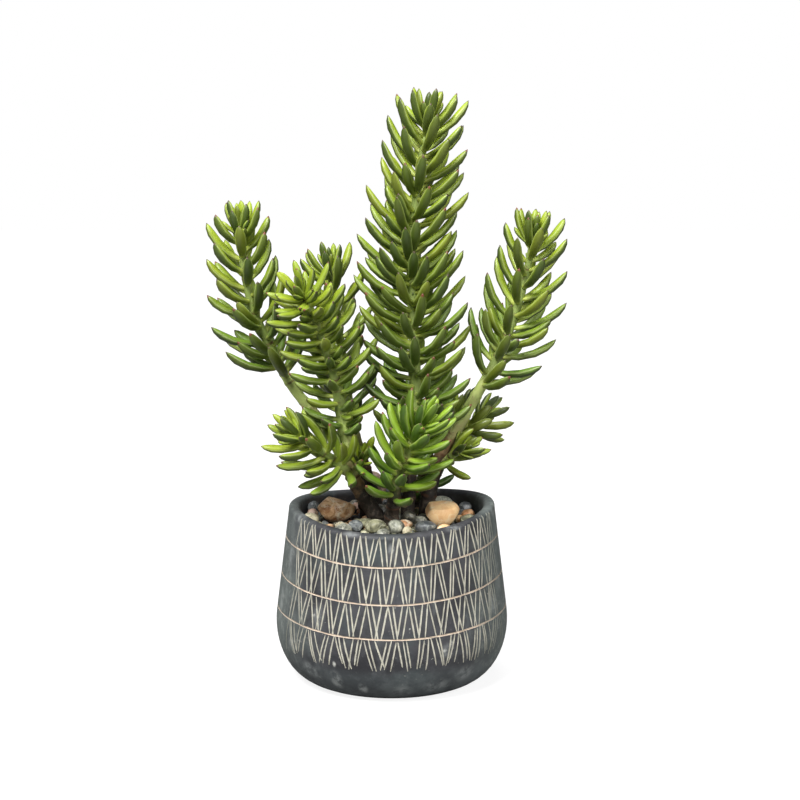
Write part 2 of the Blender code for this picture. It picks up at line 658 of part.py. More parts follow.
def spread_stones():
    """The placed stones, then free ones pushed apart until none crosses another, the wall or a root"""
    draw = random.Random(STONE_SEED)
    stones = [tuple(size / 1000 for size in stone[:5]) + stone[5:] for stone in PLACED_STONES]
    fixed = [(x, y, max(length, depth)) for x, y, length, depth, *rest in stones]
    fixed += low_stems()
    free = []
    for number in range(FREE_STONES):
        angle = math.radians(GOLDEN_TURN * number)
        reach = (STONE_WALL - STONE_MARGIN) * math.sqrt((number + 0.5) / FREE_STONES)
        radius = draw.uniform(*FREE_SIZE) / 1000
        free.append([reach * math.cos(angle), reach * math.sin(angle), radius])
    for _ in range(STONE_ROUNDS):
        for one in free:
            for x, y, radius in fixed + [tuple(other) for other in free if other is not one]:
                away = Vector((one[0] - x, one[1] - y))
                short = one[2] + radius + GAP - away.length
                if short > 0:
                    push = away.normalized() * short * STONE_PUSH
                    one[0] += push.x
                    one[1] += push.y
            reach = math.hypot(one[0], one[1])
            if reach > STONE_WALL - one[2]:
                scale = (STONE_WALL - one[2]) / reach
                one[0] *= scale
                one[1] *= scale
    for number, (x, y, radius) in enumerate(free):
        others = fixed + [tuple(other) for other in free[:number]]
        if all(math.hypot(x - a, y - b) >= radius + r + GAP / 2 for a, b, r in others):
            shape = (radius, radius * draw.uniform(0.8, 1.0), radius * draw.uniform(0.6, 0.8))
            colour = FREE_COLOURS[number % len(FREE_COLOURS)]
            stones.append((x, y, *shape, draw.uniform(0, 180), colour))
    return stones


def build_stone(name, number, stone):
    """A water-worn pebble, slightly uneven, on a small flat underside"""
    x, y, length, depth, height, turn, colour = stone
    sides, levels = (8, 5) if length * 1000 > BIG_STONE else (6, 3)
    draw = random.Random(STONE_SEED * 100 + number)
    phases = [draw.uniform(0, math.tau) for _ in range(3)]
    spin = math.radians(turn)
    middle = SOIL_TOP + GAP - STONE_FLAT * height

    def skin(around, over):
        bump = math.sin(2 * around + phases[0]) * math.sin(over) + math.sin(3 * around + phases[1])
        size = 1 - STONE_ROUGH + STONE_ROUGH * 0.5 * (bump * math.sin(over))
        a = length * size * math.cos(around) * math.sin(over)
        b = depth * size * math.sin(around) * math.sin(over)
        c = height * max(STONE_FLAT, -math.cos(over))
        return (x + a * math.cos(spin) - b * math.sin(spin), y + a * math.sin(spin) + b * math.cos(spin),
                middle + c)

    rings = []
    for level in range(1, levels + 1):
        over = math.pi * level / (levels + 1)
        rings.append([skin(math.tau * side / sides, over) for side in range(sides)])
    corners, faces = stacked_rings(rings, skin(0, 0), skin(0, math.pi))
    return add_object(name, corners, faces, material(name, STONE_COLOURS[colour], 0.6))


def clear_scene():
    for made in list(bpy.data.objects):
        bpy.data.objects.remove(made)


def main():
    clear_scene()
    rooted = [shoot for shoot in SHOOTS if shoot["root"]]
    roots = [(*(size / 1000 for size in shoot["root"]), shoot["radius"][0] / 1000) for shoot in rooted]
    build_pot()
    build_soil(roots)
    stones = spread_stones()
    for number, stone in enumerate(stones, start=1):
        build_stone(f"stone_{number:02d}", number, stone)
    build_plants(stones)


main()
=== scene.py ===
# %% [markdown]
# # A potted finger cactus
# A round pot of charcoal stoneware holds dark soil, loose pebbles and seven jointed plants with fat,
# finger-like leaves. The construction is already packed: this scene loads it as a fixed frame and
# gives each piece its finer form and its finish.

# %% Load the frame
import bisect
import json
import math
import random

import bmesh
import bpy
import numpy as np
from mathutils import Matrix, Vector, kdtree

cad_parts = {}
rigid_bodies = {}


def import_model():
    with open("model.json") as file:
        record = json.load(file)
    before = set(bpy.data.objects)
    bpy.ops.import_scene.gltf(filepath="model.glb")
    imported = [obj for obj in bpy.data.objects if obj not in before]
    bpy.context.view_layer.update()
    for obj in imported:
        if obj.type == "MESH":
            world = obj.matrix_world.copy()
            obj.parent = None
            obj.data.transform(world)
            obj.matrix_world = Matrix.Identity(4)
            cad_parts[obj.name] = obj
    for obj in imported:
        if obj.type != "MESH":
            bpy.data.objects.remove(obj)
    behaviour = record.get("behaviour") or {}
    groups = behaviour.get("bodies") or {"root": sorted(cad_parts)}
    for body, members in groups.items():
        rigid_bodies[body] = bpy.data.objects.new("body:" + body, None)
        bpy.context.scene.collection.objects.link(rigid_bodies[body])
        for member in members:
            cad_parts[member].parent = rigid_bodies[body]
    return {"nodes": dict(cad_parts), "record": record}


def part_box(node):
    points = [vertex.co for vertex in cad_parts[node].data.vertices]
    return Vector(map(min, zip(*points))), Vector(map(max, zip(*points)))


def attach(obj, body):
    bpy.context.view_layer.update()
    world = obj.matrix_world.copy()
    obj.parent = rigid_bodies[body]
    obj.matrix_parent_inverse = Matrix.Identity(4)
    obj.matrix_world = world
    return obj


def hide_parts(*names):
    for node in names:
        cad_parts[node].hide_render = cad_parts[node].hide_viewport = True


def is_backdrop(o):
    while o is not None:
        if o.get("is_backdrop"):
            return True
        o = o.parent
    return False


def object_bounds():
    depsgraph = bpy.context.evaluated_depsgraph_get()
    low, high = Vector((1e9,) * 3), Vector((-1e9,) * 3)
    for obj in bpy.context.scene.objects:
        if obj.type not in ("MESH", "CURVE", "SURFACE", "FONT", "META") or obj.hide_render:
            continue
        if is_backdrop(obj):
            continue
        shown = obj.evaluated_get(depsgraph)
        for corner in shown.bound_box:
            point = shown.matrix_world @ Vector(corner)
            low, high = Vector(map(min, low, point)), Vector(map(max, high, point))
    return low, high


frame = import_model()
cad_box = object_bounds()
print("the frame has", len(frame["nodes"]), "pieces")


# %% [markdown]
# ## Camera
# The photograph looks slightly down at the plant from a little over a metre away, with a short
# telephoto lens. The lens and the tilt were worked out from the pot, whose rim and foot show how
# much the view looks down.

# %% Camera
CAMERA_PLACE = (0.005, -1.1, 0.371)
CAMERA_DIP = math.atan(0.201 / 1.1)
LENS = 83.8

bpy.ops.object.camera_add(location=CAMERA_PLACE, rotation=(math.pi / 2 - CAMERA_DIP, 0, 0))
camera = bpy.context.object
camera.data.lens = LENS
bpy.context.scene.camera = camera
print("camera tilted down by", round(math.degrees(CAMERA_DIP), 1), "degrees")


# %% [markdown]
# ## Light and floor
# A product photograph is lit by soft lamps in a pale room. One lamp hangs high in front and to the
# left and lights the tops of the leaves, one above does the same for the back, and a weaker one in
# front on the right reaches the pebbles under the leaves. The room and the floor look white, but
# throw little light back, so that the undersides of the leaves and the gaps between them stay dark,
# as they are in the photograph.

# %% Lamps
AIM = Vector((0.0, 0.0, 0.17))


def soft_lamp(name, place, size, power):
    """A square soft lamp that points at the plant"""
    bpy.ops.object.light_add(type="AREA", location=place)
    lamp = bpy.context.object
    lamp.name = name
    lamp.data.size = size
    lamp.data.energy = power
    lamp.rotation_euler = (AIM - Vector(place)).to_track_quat("-Z", "Y").to_euler()


soft_lamp("lamp_high_left", (-0.45, -0.85, 1.20), 0.5, 31)
soft_lamp("lamp_top", (0.10, 0.20, 1.5), 0.6, 10)
soft_lamp("lamp_front_right", (0.70, -1.05, 0.85), 0.45, 10)


# %% The pale room and the floor
ROOM_LOOK, ROOM_LIGHT = 1.0, 0.13
FLOOR_LOOK, FLOOR_FAR_LOOK, FLOOR_LIGHT = 0.86, 1.0, 0.0
FLOOR_FAR = 1.0
FLOOR_SIZE = 6.0
PAPER = 0.22


def look_and_light(tree, socket, look, light):
    """A strength of one value as seen directly, and of another in the light it throws"""
    ray = tree.nodes.new("ShaderNodeLightPath")
    strength = tree.nodes.new("ShaderNodeMapRange")
    strength.inputs["To Min"].default_value = light
    strength.inputs["To Max"].default_value = look
    tree.links.new(ray.outputs["Is Camera Ray"], strength.inputs["Value"])
    tree.links.new(strength.outputs["Result"], socket)
    return strength


bpy.context.scene.view_settings.view_transform = "Standard"
room = bpy.data.worlds.new("pale_room")
bpy.context.scene.world = room
room.use_nodes = True
backdrop = room.node_tree.nodes["Background"]
backdrop.inputs["Color"].default_value = (1, 1, 1, 1)
look_and_light(room.node_tree, backdrop.inputs["Strength"], ROOM_LOOK, ROOM_LIGHT)

bpy.ops.mesh.primitive_plane_add(size=FLOOR_SIZE)
floor = bpy.context.object
floor.name = "floor"
paper = bpy.data.materials.new("white_paper")
paper.use_nodes = True
paper_shader = paper.node_tree.nodes["Principled BSDF"]
paper_shader.inputs["Base Color"].default_value = (PAPER, PAPER, PAPER, 1)
paper_shader.inputs["Roughness"].default_value = 1.0
paper_shader.inputs["Specular IOR Level"].default_value = 0.0
paper_shader.inputs["Emission Color"].default_value = (1, 1, 1, 1)
glow = look_and_light(paper.node_tree, paper_shader.inputs["Emission Strength"], FLOOR_LOOK, FLOOR_LIGHT)
spot = paper.node_tree.nodes.new("ShaderNodeTexCoord")
reach = paper.node_tree.nodes.new("ShaderNodeVectorMath")
reach.operation = "LENGTH"
fade = paper.node_tree.nodes.new("ShaderNodeMapRange")
for socket, value in (("From Max", FLOOR_FAR), ("To Min", FLOOR_LOOK), ("To Max", FLOOR_FAR_LOOK)):
    fade.inputs[socket].default_value = value
paper.node_tree.links.new(spot.outputs["Object"], reach.inputs[0])
paper.node_tree.links.new(reach.outputs["Value"], fade.inputs["Value"])
paper.node_tree.links.new(fade.outputs["Result"], glow.inputs["To Max"])
floor.data.materials.append(paper)
floor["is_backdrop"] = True
print("room light", ROOM_LIGHT, "and floor light", FLOOR_LIGHT)


# %% [markdown]
# ## A maker of finishes
# Every finish below is a small network of nodes: noises read the place on the object, ramps and
# mixes turn them into colour, and a bump turns them into fine relief. This class adds and joins those
# nodes with short calls, so that each finish reads like a recipe.

# %% Finish
class Finish:
    """A material whose nodes are added and joined by short calls"""

    def __init__(self, name, roughness, **shader_values):
        self.material = bpy.data.materials.new(name)
        self.material.use_nodes = True
        self.tree = self.material.node_tree
        self.shader = self.tree.nodes["Principled BSDF"]
        self.shader.inputs["Roughness"].default_value = roughness
        for socket, value in shader_values.items():
            self.shader.inputs[socket.replace("_", " ")].default_value = value
        self.place = self.add("ShaderNodeTexCoord").outputs["Object"]

    def add(self, kind, **settings):
        node = self.tree.nodes.new(kind)
        for name, value in settings.items():
            setattr(node, name, value)
        return node

    def join(self, value, socket):
        """A socket is linked, and a plain value is set"""
        if isinstance(value, bpy.types.NodeSocket):
            self.tree.links.new(value, socket)
        elif isinstance(value, tuple) and len(value) == 3 and socket.type == "RGBA":
            socket.default_value = (*value, 1.0)
        else:
            socket.default_value = value

    def stretched(self, x, y, z):
        """The place on the object, with each direction scaled"""
        node = self.add("ShaderNodeMapping")
        self.join(self.place, node.inputs["Vector"])
        node.inputs["Scale"].default_value = (x, y, z)
        return node.outputs["Vector"]

    def noise(self, scale, detail=3.0, roughness=0.55, place=None, bend=0.0):
        node = self.add("ShaderNodeTexNoise")
        self.join(place or self.place, node.inputs["Vector"])
        node.inputs["Scale"].default_value = scale
        node.inputs["Detail"].default_value = detail
        node.inputs["Roughness"].default_value = roughness
        node.inputs["Distortion"].default_value = bend
        return node.outputs["Fac"]

    def attribute(self, name):
        return self.add("ShaderNodeAttribute", attribute_name=name).outputs["Fac"]

    def axis(self, name):
        node = self.add("ShaderNodeSeparateXYZ")
        self.join(self.place, node.inputs["Vector"])
        return node.outputs[name]

    def span(self, value, low, high, start=0.0, end=1.0):
        """A value's span from low to high, as a smooth share from start to end"""
        node = self.add("ShaderNodeMapRange", interpolation_type="SMOOTHSTEP")
        for socket, number in zip(("Value", "From Min", "From Max", "To Min", "To Max"),
                                  (value, low, high, start, end)):
            self.join(number, node.inputs[socket])
        return node.outputs["Result"]

    def spot(self, middle, wide, tall):
        """One in the middle of an upright oval spot, fading to nothing at its edge"""
        node = self.add("ShaderNodeMapping")
        self.join(self.place, node.inputs["Vector"])
        sizes = (wide, wide, tall)
        node.inputs["Scale"].default_value = [1 / size for size in sizes]
        node.inputs["Location"].default_value = [-place / size for place, size in zip(middle, sizes)]
        reach = self.add("ShaderNodeVectorMath", operation="LENGTH")
        self.join(node.outputs["Vector"], reach.inputs[0])
        return self.span(reach.outputs["Value"], 0.2, 1.0, 1.0, 0.0)

    def maths(self, operation, first, second=0.0):
        node = self.add("ShaderNodeMath", operation=operation)
        self.join(first, node.inputs[0])
        self.join(second, node.inputs[1])
        return node.outputs["Value"]

    def plus(self, first, second):
        return self.maths("ADD", first, second)

    def times(self, first, second):
        return self.maths("MULTIPLY", first, second)

    def ripple(self, amount, *noise):
        """A noise that swings as far below zero as above it"""
        return self.times(self.maths("SUBTRACT", self.noise(*noise), 0.5), amount)

    def away_from(self, middle, value):
        """How far a value lies from a middle one, either way"""
        return self.maths("ABSOLUTE", self.maths("SUBTRACT", value, middle))

    def mix(self, share, first, second):
        node = self.add("ShaderNodeMix", data_type="RGBA")
        self.join(share, node.inputs["Factor"])
        colours = [socket for socket in node.inputs if socket.type == "RGBA"]
        self.join(first, colours[0])
        self.join(second, colours[1])
        return [socket for socket in node.outputs if socket.type == "RGBA"][0]

    def ramp(self, share, *stops):
        """A colour for each place along a share, smooth between them"""
        node = self.add("ShaderNodeValToRGB")
        self.join(share, node.inputs["Fac"])
        points = node.color_ramp.elements
        while len(points) < len(stops):
            points.new(0.5)
        for point, (place, colour) in zip(points, stops):
            point.position = place
            point.color = (*colour, 1.0)
        return node.outputs["Color"]

    def finish(self, colour, height=None, depth=0.0002, roughness=None):
        """Joins the colour, the relief and a roughness that varies"""
        self.join(colour, self.shader.inputs["Base Color"])
        if roughness is not None:
            self.join(roughness, self.shader.inputs["Roughness"])
        if height is not None:
            bump = self.add("ShaderNodeBump")
            bump.inputs["Distance"].default_value = depth
            self.join(height, bump.inputs["Height"])
            self.join(bump.outputs["Normal"], self.shader.inputs["Normal"])
        return self.material


def lerp(start, end, share):
    return start + (end - start) * share


# %% [markdown]
# ## Selecting and applying
# Blender's modelling operators act on all that is selected, so a new piece starts with nothing
# selected, and its corners are picked in code by their place.

# %% Helpers for modelling
def deselect():
    bpy.ops.object.select_all(action="DESELECT")


def activate(piece):
    deselect()
    piece.select_set(True)
    bpy.context.view_layer.objects.active = piece


def start_editing(mode="VERT"):
    bpy.ops.object.mode_set(mode="EDIT")
    bpy.ops.mesh.select_mode(type=mode)
    bpy.ops.mesh.select_all(action="DESELECT")


def stop_editing():
    bpy.ops.object.mode_set(mode="OBJECT")


def pick(test, kind="verts"):
    """In edit mode, selects only the corners, edges or faces that pass a test"""
    shape = bmesh.from_edit_mesh(bpy.context.edit_object.data)
    bpy.ops.mesh.select_all(action="DESELECT")
    for part in getattr(shape, kind):
        part.select_set(test(part))
    shape.select_flush_mode()
    bmesh.update_edit_mesh(bpy.context.edit_object.data)


def corners_of(piece):
    """A mesh's corners as an array"""
    places = np.empty(len(piece.data.vertices) * 3)
    piece.data.vertices.foreach_get("co", places)
    return places.reshape(-1, 3)


def move_corners(piece, places):
    piece.data.vertices.foreach_set("co", np.asarray(places, dtype=float).ravel())
    piece.data.update()


def dress(piece, slot, *nodes):
    """The piece rides on the pot's body and stands for its nodes. The slot is not used"""
    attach(piece, "root")
    if nodes:
        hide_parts(*nodes)


# %% [markdown]
# ## The pot's wall
# The pot was turned or pressed by hand: a narrow foot, a round belly, a wall that leans in a little,
# and a lip about seven millimetres thick. Its rim isn't level, as its sides stand higher than its
# front and back. It is modelled as a potter raises it: one ring is extruded upwards again and again,
# over the lip and down the inside, and the finished pot is then warped a little.

# %% The pot's outline
FOOT_RADIUS = 0.047
BELLY_BULGE = 0.0236
BELLY_HEIGHT = 0.034
WALL_TAPER = 0.128
RIM_HEIGHT = 0.1046
WALL = 0.007
BASE = 0.009
RIM_RADIUS = 0.0626
RIM_SADDLE = 0.029
RIM_LEAN = 0.0075
LIP_SQUARE = 0.75
INNER_LOW = 0.020             # where the straight inside of the wall ends
FLOOR_ROUND = 0.004
BELLY_STEPS, WALL_STEPS, LIP_STEPS, INNER_STEPS = 14, 12, 13, 8
JOIN_ANGLE = math.atan(WALL_TAPER * BELLY_HEIGHT / BELLY_BULGE)
JOIN_HEIGHT = BELLY_HEIGHT * (1 + math.sin(JOIN_ANGLE))
LIP_HEIGHT = RIM_HEIGHT - WALL / 2


def outer_radius(height):
    """The wall's radius at a height: the belly's curve, then the straight wall"""
    if height <= JOIN_HEIGHT:
        rise = (BELLY_HEIGHT - height) / BELLY_HEIGHT
        return FOOT_RADIUS + BELLY_BULGE * math.sqrt(max(0.0, 1 - rise * rise))
    return outer_radius(JOIN_HEIGHT) - WALL_TAPER * (height - JOIN_HEIGHT)


def warp(x, y, height):
    """The height on the uneven pot: a saddle and a lean that fade to nothing at the foot"""
    saddle = RIM_SADDLE * (y * y - x * x) / RIM_RADIUS ** 2
    return height * (1 - saddle + RIM_LEAN * x / RIM_RADIUS)


def pot_outline():
    """Radius and height of each ring, from the foot over the lip to the floor inside"""
    for step in range(1, BELLY_STEPS + 1):
        angle = lerp(-math.pi / 2, JOIN_ANGLE, step / BELLY_STEPS)
        yield FOOT_RADIUS + BELLY_BULGE * math.cos(angle), BELLY_HEIGHT * (1 + math.sin(angle))
    for step in range(1, WALL_STEPS):
        height = lerp(JOIN_HEIGHT, LIP_HEIGHT, step / WALL_STEPS)
        yield outer_radius(height), height
    middle = outer_radius(LIP_HEIGHT) - WALL / 2
    for step in range(LIP_STEPS + 1):
        angle = math.pi * step / LIP_STEPS
        out = math.copysign(abs(math.cos(angle)) ** LIP_SQUARE, math.cos(angle))
        yield middle + WALL / 2 * out, LIP_HEIGHT + WALL / 2 * abs(math.sin(angle)) ** LIP_SQUARE
    for step in range(1, INNER_STEPS + 1):
        height = lerp(LIP_HEIGHT, INNER_LOW, step / INNER_STEPS)
        yield outer_radius(height) - WALL, height
    yield outer_radius(BASE) - WALL - FLOOR_ROUND, BASE


print("belly", round(2000 * outer_radius(BELLY_HEIGHT), 1), "mm across")


# %% Raise the wall ring by ring
POT_SIDES = 160

deselect()
bpy.ops.mesh.primitive_circle_add(vertices=POT_SIDES, radius=FOOT_RADIUS, fill_type="NOTHING")
pot = bpy.context.object
pot.name = "pot_wall"
start_editing()
bpy.ops.mesh.select_all(action="SELECT")
ring_radius, ring_height = FOOT_RADIUS, 0.0
for radius, height in pot_outline():
    bpy.ops.mesh.extrude_region_move(TRANSFORM_OT_translate={"value": (0, 0, height - ring_height)})
    share = radius / ring_radius
    bpy.ops.transform.resize(value=(share, share, 1), center_override=(0, 0, height))
    ring_radius, ring_height = radius, height
bpy.ops.mesh.edge_face_add()
pick(lambda corner: corner.co.z < 1e-6)
bpy.ops.mesh.edge_face_add()
bpy.ops.mesh.select_all(action="SELECT")
bpy.ops.mesh.normals_make_consistent(inside=False)
stop_editing()
places = corners_of(pot)
places[:, 2] = [warp(*place) for place in places]
move_corners(pot, places)
print("pot wall", len(pot.data.polygons), "faces")


# %% [markdown]
# ## The pot's finish
# The clay is pale, and the pot is coated with a charcoal slip that has gone dusty and scuffed. The
# pattern is cut through that slip, so the cuts show the pale clay. Towards the pot's two sides, the slip
# turns a lighter grey-green and the cuts a greyer one, and both finishes share that change. The chips
# and rub marks in front stand about where the photograph shows them, and the few behind are made up.
# The pale spots along the lip are painted highlights.

# %% Charcoal slip and pale clay
# Each mark: the angle round the pot, the height, its half width and half height, and its strength.
RUBS_AND_LIP_HIGHLIGHTS = (
    (-119, 0.0135, 0.0055, 0.0120, 1.00), (-105, 0.0100, 0.0040, 0.0085, 0.85),
    (-84, 0.0090, 0.0080, 0.0060, 0.55), (-66, 0.0110, 0.0110, 0.0070, 0.50),
    (-50, 0.0160, 0.0090, 0.0080, 0.50), (-135, 0.0170, 0.0090, 0.0070, 0.60),
    (-128, 0.0520, 0.0060, 0.0100, 0.30), (-90, 0.0960, 0.0030, 0.0060, 0.45),
    (-62, 0.0340, 0.0070, 0.0060, 0.40), (-146, 0.0300, 0.0080, 0.0050, 0.60),
    (-156, 0.0800, 0.0050, 0.0140, 0.45), (-163, 0.0500, 0.0060, 0.0160, 0.40),
    (-28, 0.0520, 0.0060, 0.0120, 0.35), (-35, 0.0900, 0.0040, 0.0080, 0.35),
    # The last six marks lie along the lip: painted highlights on its edge.
    (-152, 0.1030, 0.0090, 0.0040, 0.60), (-112, 0.1042, 0.0070, 0.0030, 0.40),
    (-52, 0.1036, 0.0090, 0.0030, 0.50), (-18, 0.1010, 0.0080, 0.0050, 0.50),
    (60, 0.1036, 0.0090, 0.0035, 0.50), (140, 0.1036, 0.0080, 0.0035, 0.50),
)
CHIPS = (
    (-118.5, 0.0255, 0.0016, 0.0024, 0.85), (-131.0, 0.0520, 0.0014, 0.0014, 0.65),
    (-64.5, 0.0345, 0.0026, 0.0018, 0.75), (-60.0, 0.0380, 0.0018, 0.0022, 0.55),
    (-89.0, 0.0975, 0.0012, 0.0026, 0.60), (-140.0, 0.0340, 0.0030, 0.0012, 0.60),
    (-150.0, 0.0880, 0.0014, 0.0030, 0.50), (-31.0, 0.0310, 0.0013, 0.0013, 0.60),
    (122.0, 0.0400, 0.0024, 0.0018, 0.65), (64.0, 0.0700, 0.0018, 0.0030, 0.55),
)


def greying_sides(finish):
    """How far the colour turns grey-green: little in front, much on the left and right"""
    across = finish.maths("ABSOLUTE", finish.plus(finish.axis("X"), 0.001))
    patchy = finish.times(finish.noise(38, 4, 0.6), 0.030)
    return finish.span(finish.plus(across, patchy), 0.058, 0.084)


def marks(finish, rows, colour, mark_colour, noise_scale):
    """Lays marks over a colour, each broken up by a noise"""
    broken = finish.span(finish.noise(noise_scale, 4, 0.65), 0.36, 0.60)
    for angle, height, wide, tall, strength in rows:
        x = outer_radius(height) * math.cos(math.radians(angle))
        y = outer_radius(height) * math.sin(math.radians(angle))
        share = finish.times(finish.spot((x, y, warp(x, y, height)), wide, tall), broken)
        colour = finish.mix(finish.times(share, strength), colour, mark_colour)
    return colour


def charcoal_slip():
    made = Finish("charcoal_slip", 0.75)
    blotches = made.times(made.noise(150, 5, 0.7), 0.8)
    cloudy = made.span(made.plus(made.noise(26, 5, 0.62), blotches), 0.74, 1.08)
    colour = made.mix(cloudy, (0.026, 0.026, 0.030), (0.058, 0.059, 0.065))
    tinge = made.span(made.noise(44, 3, 0.5), 0.52, 0.70, 0.0, 0.5)
    colour = made.mix(tinge, colour, (0.058, 0.080, 0.080))
    side_grey = greying_sides(made)
    colour = made.mix(made.times(side_grey, 0.85), colour, (0.140, 0.165, 0.156))
    ragged = made.plus(made.axis("Z"), made.times(made.noise(50, 3), 0.004))
    bare_foot = made.span(ragged, 0.018, 0.027, 0.70, 0.0)
    colour = made.mix(bare_foot, colour, made.mix(cloudy, (0.074, 0.086, 0.090), (0.140, 0.160, 0.162)))
    smears = made.noise(60, 5, 0.65, place=made.stretched(1, 1, 0.22), bend=0.6)
    smears = made.span(smears, 0.52, 0.74)
    smears = made.times(smears, made.span(made.noise(16, 2), 0.42, 0.62, 0.10, 0.50))
    colour = made.mix(smears, colour, (0.20, 0.22, 0.215))
    dusting = made.times(made.span(made.noise(170, 5, 0.75), 0.48, 0.70), side_grey)
    colour = made.mix(made.times(dusting, 0.65), colour, (0.32, 0.34, 0.31))
    scrapes = made.noise(120, 5, 0.7, place=made.stretched(1, 1, 0.10), bend=0.3)
    scrapes = made.times(made.span(scrapes, 0.60, 0.72), made.span(made.noise(22, 3), 0.45, 0.60))
    colour = made.mix(made.times(scrapes, 0.40), colour, (0.28, 0.29, 0.27))
    streaks = made.noise(75, 5, 0.7, place=made.stretched(1, 1, 0.20), bend=0.4)
    streaks = made.times(made.span(streaks, 0.50, 0.66), side_grey)
    colour = made.mix(made.times(streaks, 0.50), colour, (0.27, 0.30, 0.28))
    specks = made.span(made.noise(420, 3, 0.6), 0.66, 0.74)
    specks = made.times(specks, made.span(made.noise(30, 3), 0.42, 0.62, 0.1, 0.8))
    colour = made.mix(specks, colour, (0.36, 0.37, 0.33))
    # Rub marks, and painted highlights along the lip.
    colour = marks(made, RUBS_AND_LIP_HIGHLIGHTS, colour, (0.38, 0.40, 0.39), 140)
    colour = marks(made, CHIPS, colour, (0.66, 0.66, 0.60), 300)
    # Painted shade: the lowest few millimetres, where the belly curves under towards the floor, are darkened
    # almost to black.
    edge = made.span(made.axis("Z"), 0.0, 0.0045, 0.80, 0.0)
    colour = made.mix(edge, colour, (0.018, 0.019, 0.021))
    grain = made.plus(made.noise(260, 5, 0.7), made.times(made.noise(40, 3), 1.5))
    roughness = made.span(cloudy, 0.0, 1.0, 0.58, 0.78)
    return made.finish(colour, grain, 0.00035, roughness)


def pale_clay(name, light, shade, fading):
    """The bare clay in the cuts, which turns grey towards the pot's sides"""
    made = Finish(name, 0.9)
    colour = made.mix(made.span(made.noise(300, 4, 0.6), 0.3, 0.7), shade, light)
    side_greying = made.span(greying_sides(made), 0.20, 1.0, 0.0, fading)
    colour = made.mix(side_greying, colour, (0.17, 0.19, 0.165))
    gone = made.span(made.noise(70, 4, 0.7), 0.58, 0.72, 0.0, 0.55)
    colour = made.mix(gone, colour, (0.22, 0.22, 0.20))
    return made.finish(colour, made.noise(500, 3, 0.6), 0.0002)


slip = charcoal_slip()
clay_cut = pale_clay("clay_cut", (0.58, 0.560, 0.47), (0.40, 0.385, 0.32), 0.75)
clay_line = pale_clay("clay_line", (0.72, 0.610, 0.49), (0.54, 0.44, 0.35), 0.35)
pot.data.materials.append(slip)


# %% [markdown]
# ## Cutting the pattern
# Three lines run round the pot, and between them zigzags stand close together, each leg scratched
# twice, and three times in the lowest band. They stop at a plain stretch on each side of the pot. These
# lie at the edge of what the photograph shows, so their width is a guess, and so is all of the back.
# The cuts look like the work of one small tool, so one is modelled once, copied for each scratch with a
# little irregularity, laid on the wall, and the whole bundle is cut out of it in one Boolean.

# %% The cutting tool
TOOL_PARTS = 5

deselect()
bpy.ops.mesh.primitive_cube_add(size=1, location=(0.5, 0, 0))
tool = bpy.context.object
tool.name = "cutting_tool"
bpy.ops.object.transform_apply(location=True)
start_editing("EDGE")
pick(lambda edge: abs(edge.verts[0].co.x - edge.verts[1].co.x) > 0.5, "edges")
bpy.ops.mesh.subdivide(number_cuts=TOOL_PARTS - 1)
bpy.ops.mesh.select_mode(type="VERT")
pick(lambda corner: corner.co.z < 0)
bpy.ops.transform.resize(value=(1, 0.5, 1), center_override=(0.5, 0, 0))
for end in (0, 1):
    pick(lambda corner: abs(corner.co.x - end) < 0.01)
    bpy.ops.transform.resize(value=(1, 0.5, 1), center_override=(end, 0, 0))
stop_editing()
tool_shape = corners_of(tool)
print("cutting tool", len(tool.data.polygons), "faces")


# %% Lay the tool on the wall
PROUD = 0.0008                # how far the tool stands out of the wall
WALL_STEP = 0.0005


def skin_radius(height):
    """The wall's radius at a height, also where the lip rounds over"""
    if height <= LIP_HEIGHT:
        return outer_radius(height)
    rise = min((height - LIP_HEIGHT) / (WALL / 2), 1.0) ** (1 / LIP_SQUARE)
    out = math.sqrt(1 - rise * rise) ** LIP_SQUARE
    return outer_radius(LIP_HEIGHT) - WALL / 2 * (1 - out)


def on_wall(angle, height, out):
    """A point of the warped wall, moved out from it or into it"""
    slope = (outer_radius(height + WALL_STEP) - outer_radius(height - WALL_STEP)) / (2 * WALL_STEP)
    steep = math.hypot(1, slope)
    radius = skin_radius(height) + out / steep
    x, y = radius * math.cos(angle), radius * math.sin(angle)
    return x, y, warp(x, y, height - out * slope / steep)


def scratch(start, end, width, depth, clay):
    """A copy of the tool that cuts from one angle and height on the wall to another"""
    (angle_a, height_a), (angle_b, height_b) = start, end
    girth = outer_radius((height_a + height_b) / 2)
    along, rise = (angle_b - angle_a) * girth, height_b - height_a
    length = math.hypot(along, rise)
    places = []
    for share, side, level in tool_shape:
        angle = lerp(angle_a, angle_b, share) - side * width * rise / length / girth
        height = lerp(height_a, height_b, share) + side * width * along / length
        places.append(on_wall(angle, height, PROUD if level > 0 else -depth))
    cutter = bpy.data.objects.new("scratch", tool.data.copy())
    cutter.data.materials.append(clay)
    move_corners(cutter, places)
    scratches.objects.link(cutter)


scratches = bpy.data.collections.new("scratches")
bpy.context.scene.collection.children.link(scratches)


# %% Scratch the zigzags and the lines
LINE_HEIGHTS = (0.0862, 0.0642, 0.0436)
TOP_OF_CUTS = 0.1041
ENDS_OF_CUTS = 0.0245
LINE_PULLS = 20
PULL_OVERLAP = 1.18           # a pull's length over its share of the way round
LINE_WIDTH, LINE_DEPTH = 0.0015, 0.00040
SCRATCH_WIDTHS = (0.00125, 0.00172)
SCRATCH_DEPTHS = (0.00024, 0.00044)
CREASE = math.radians(20)
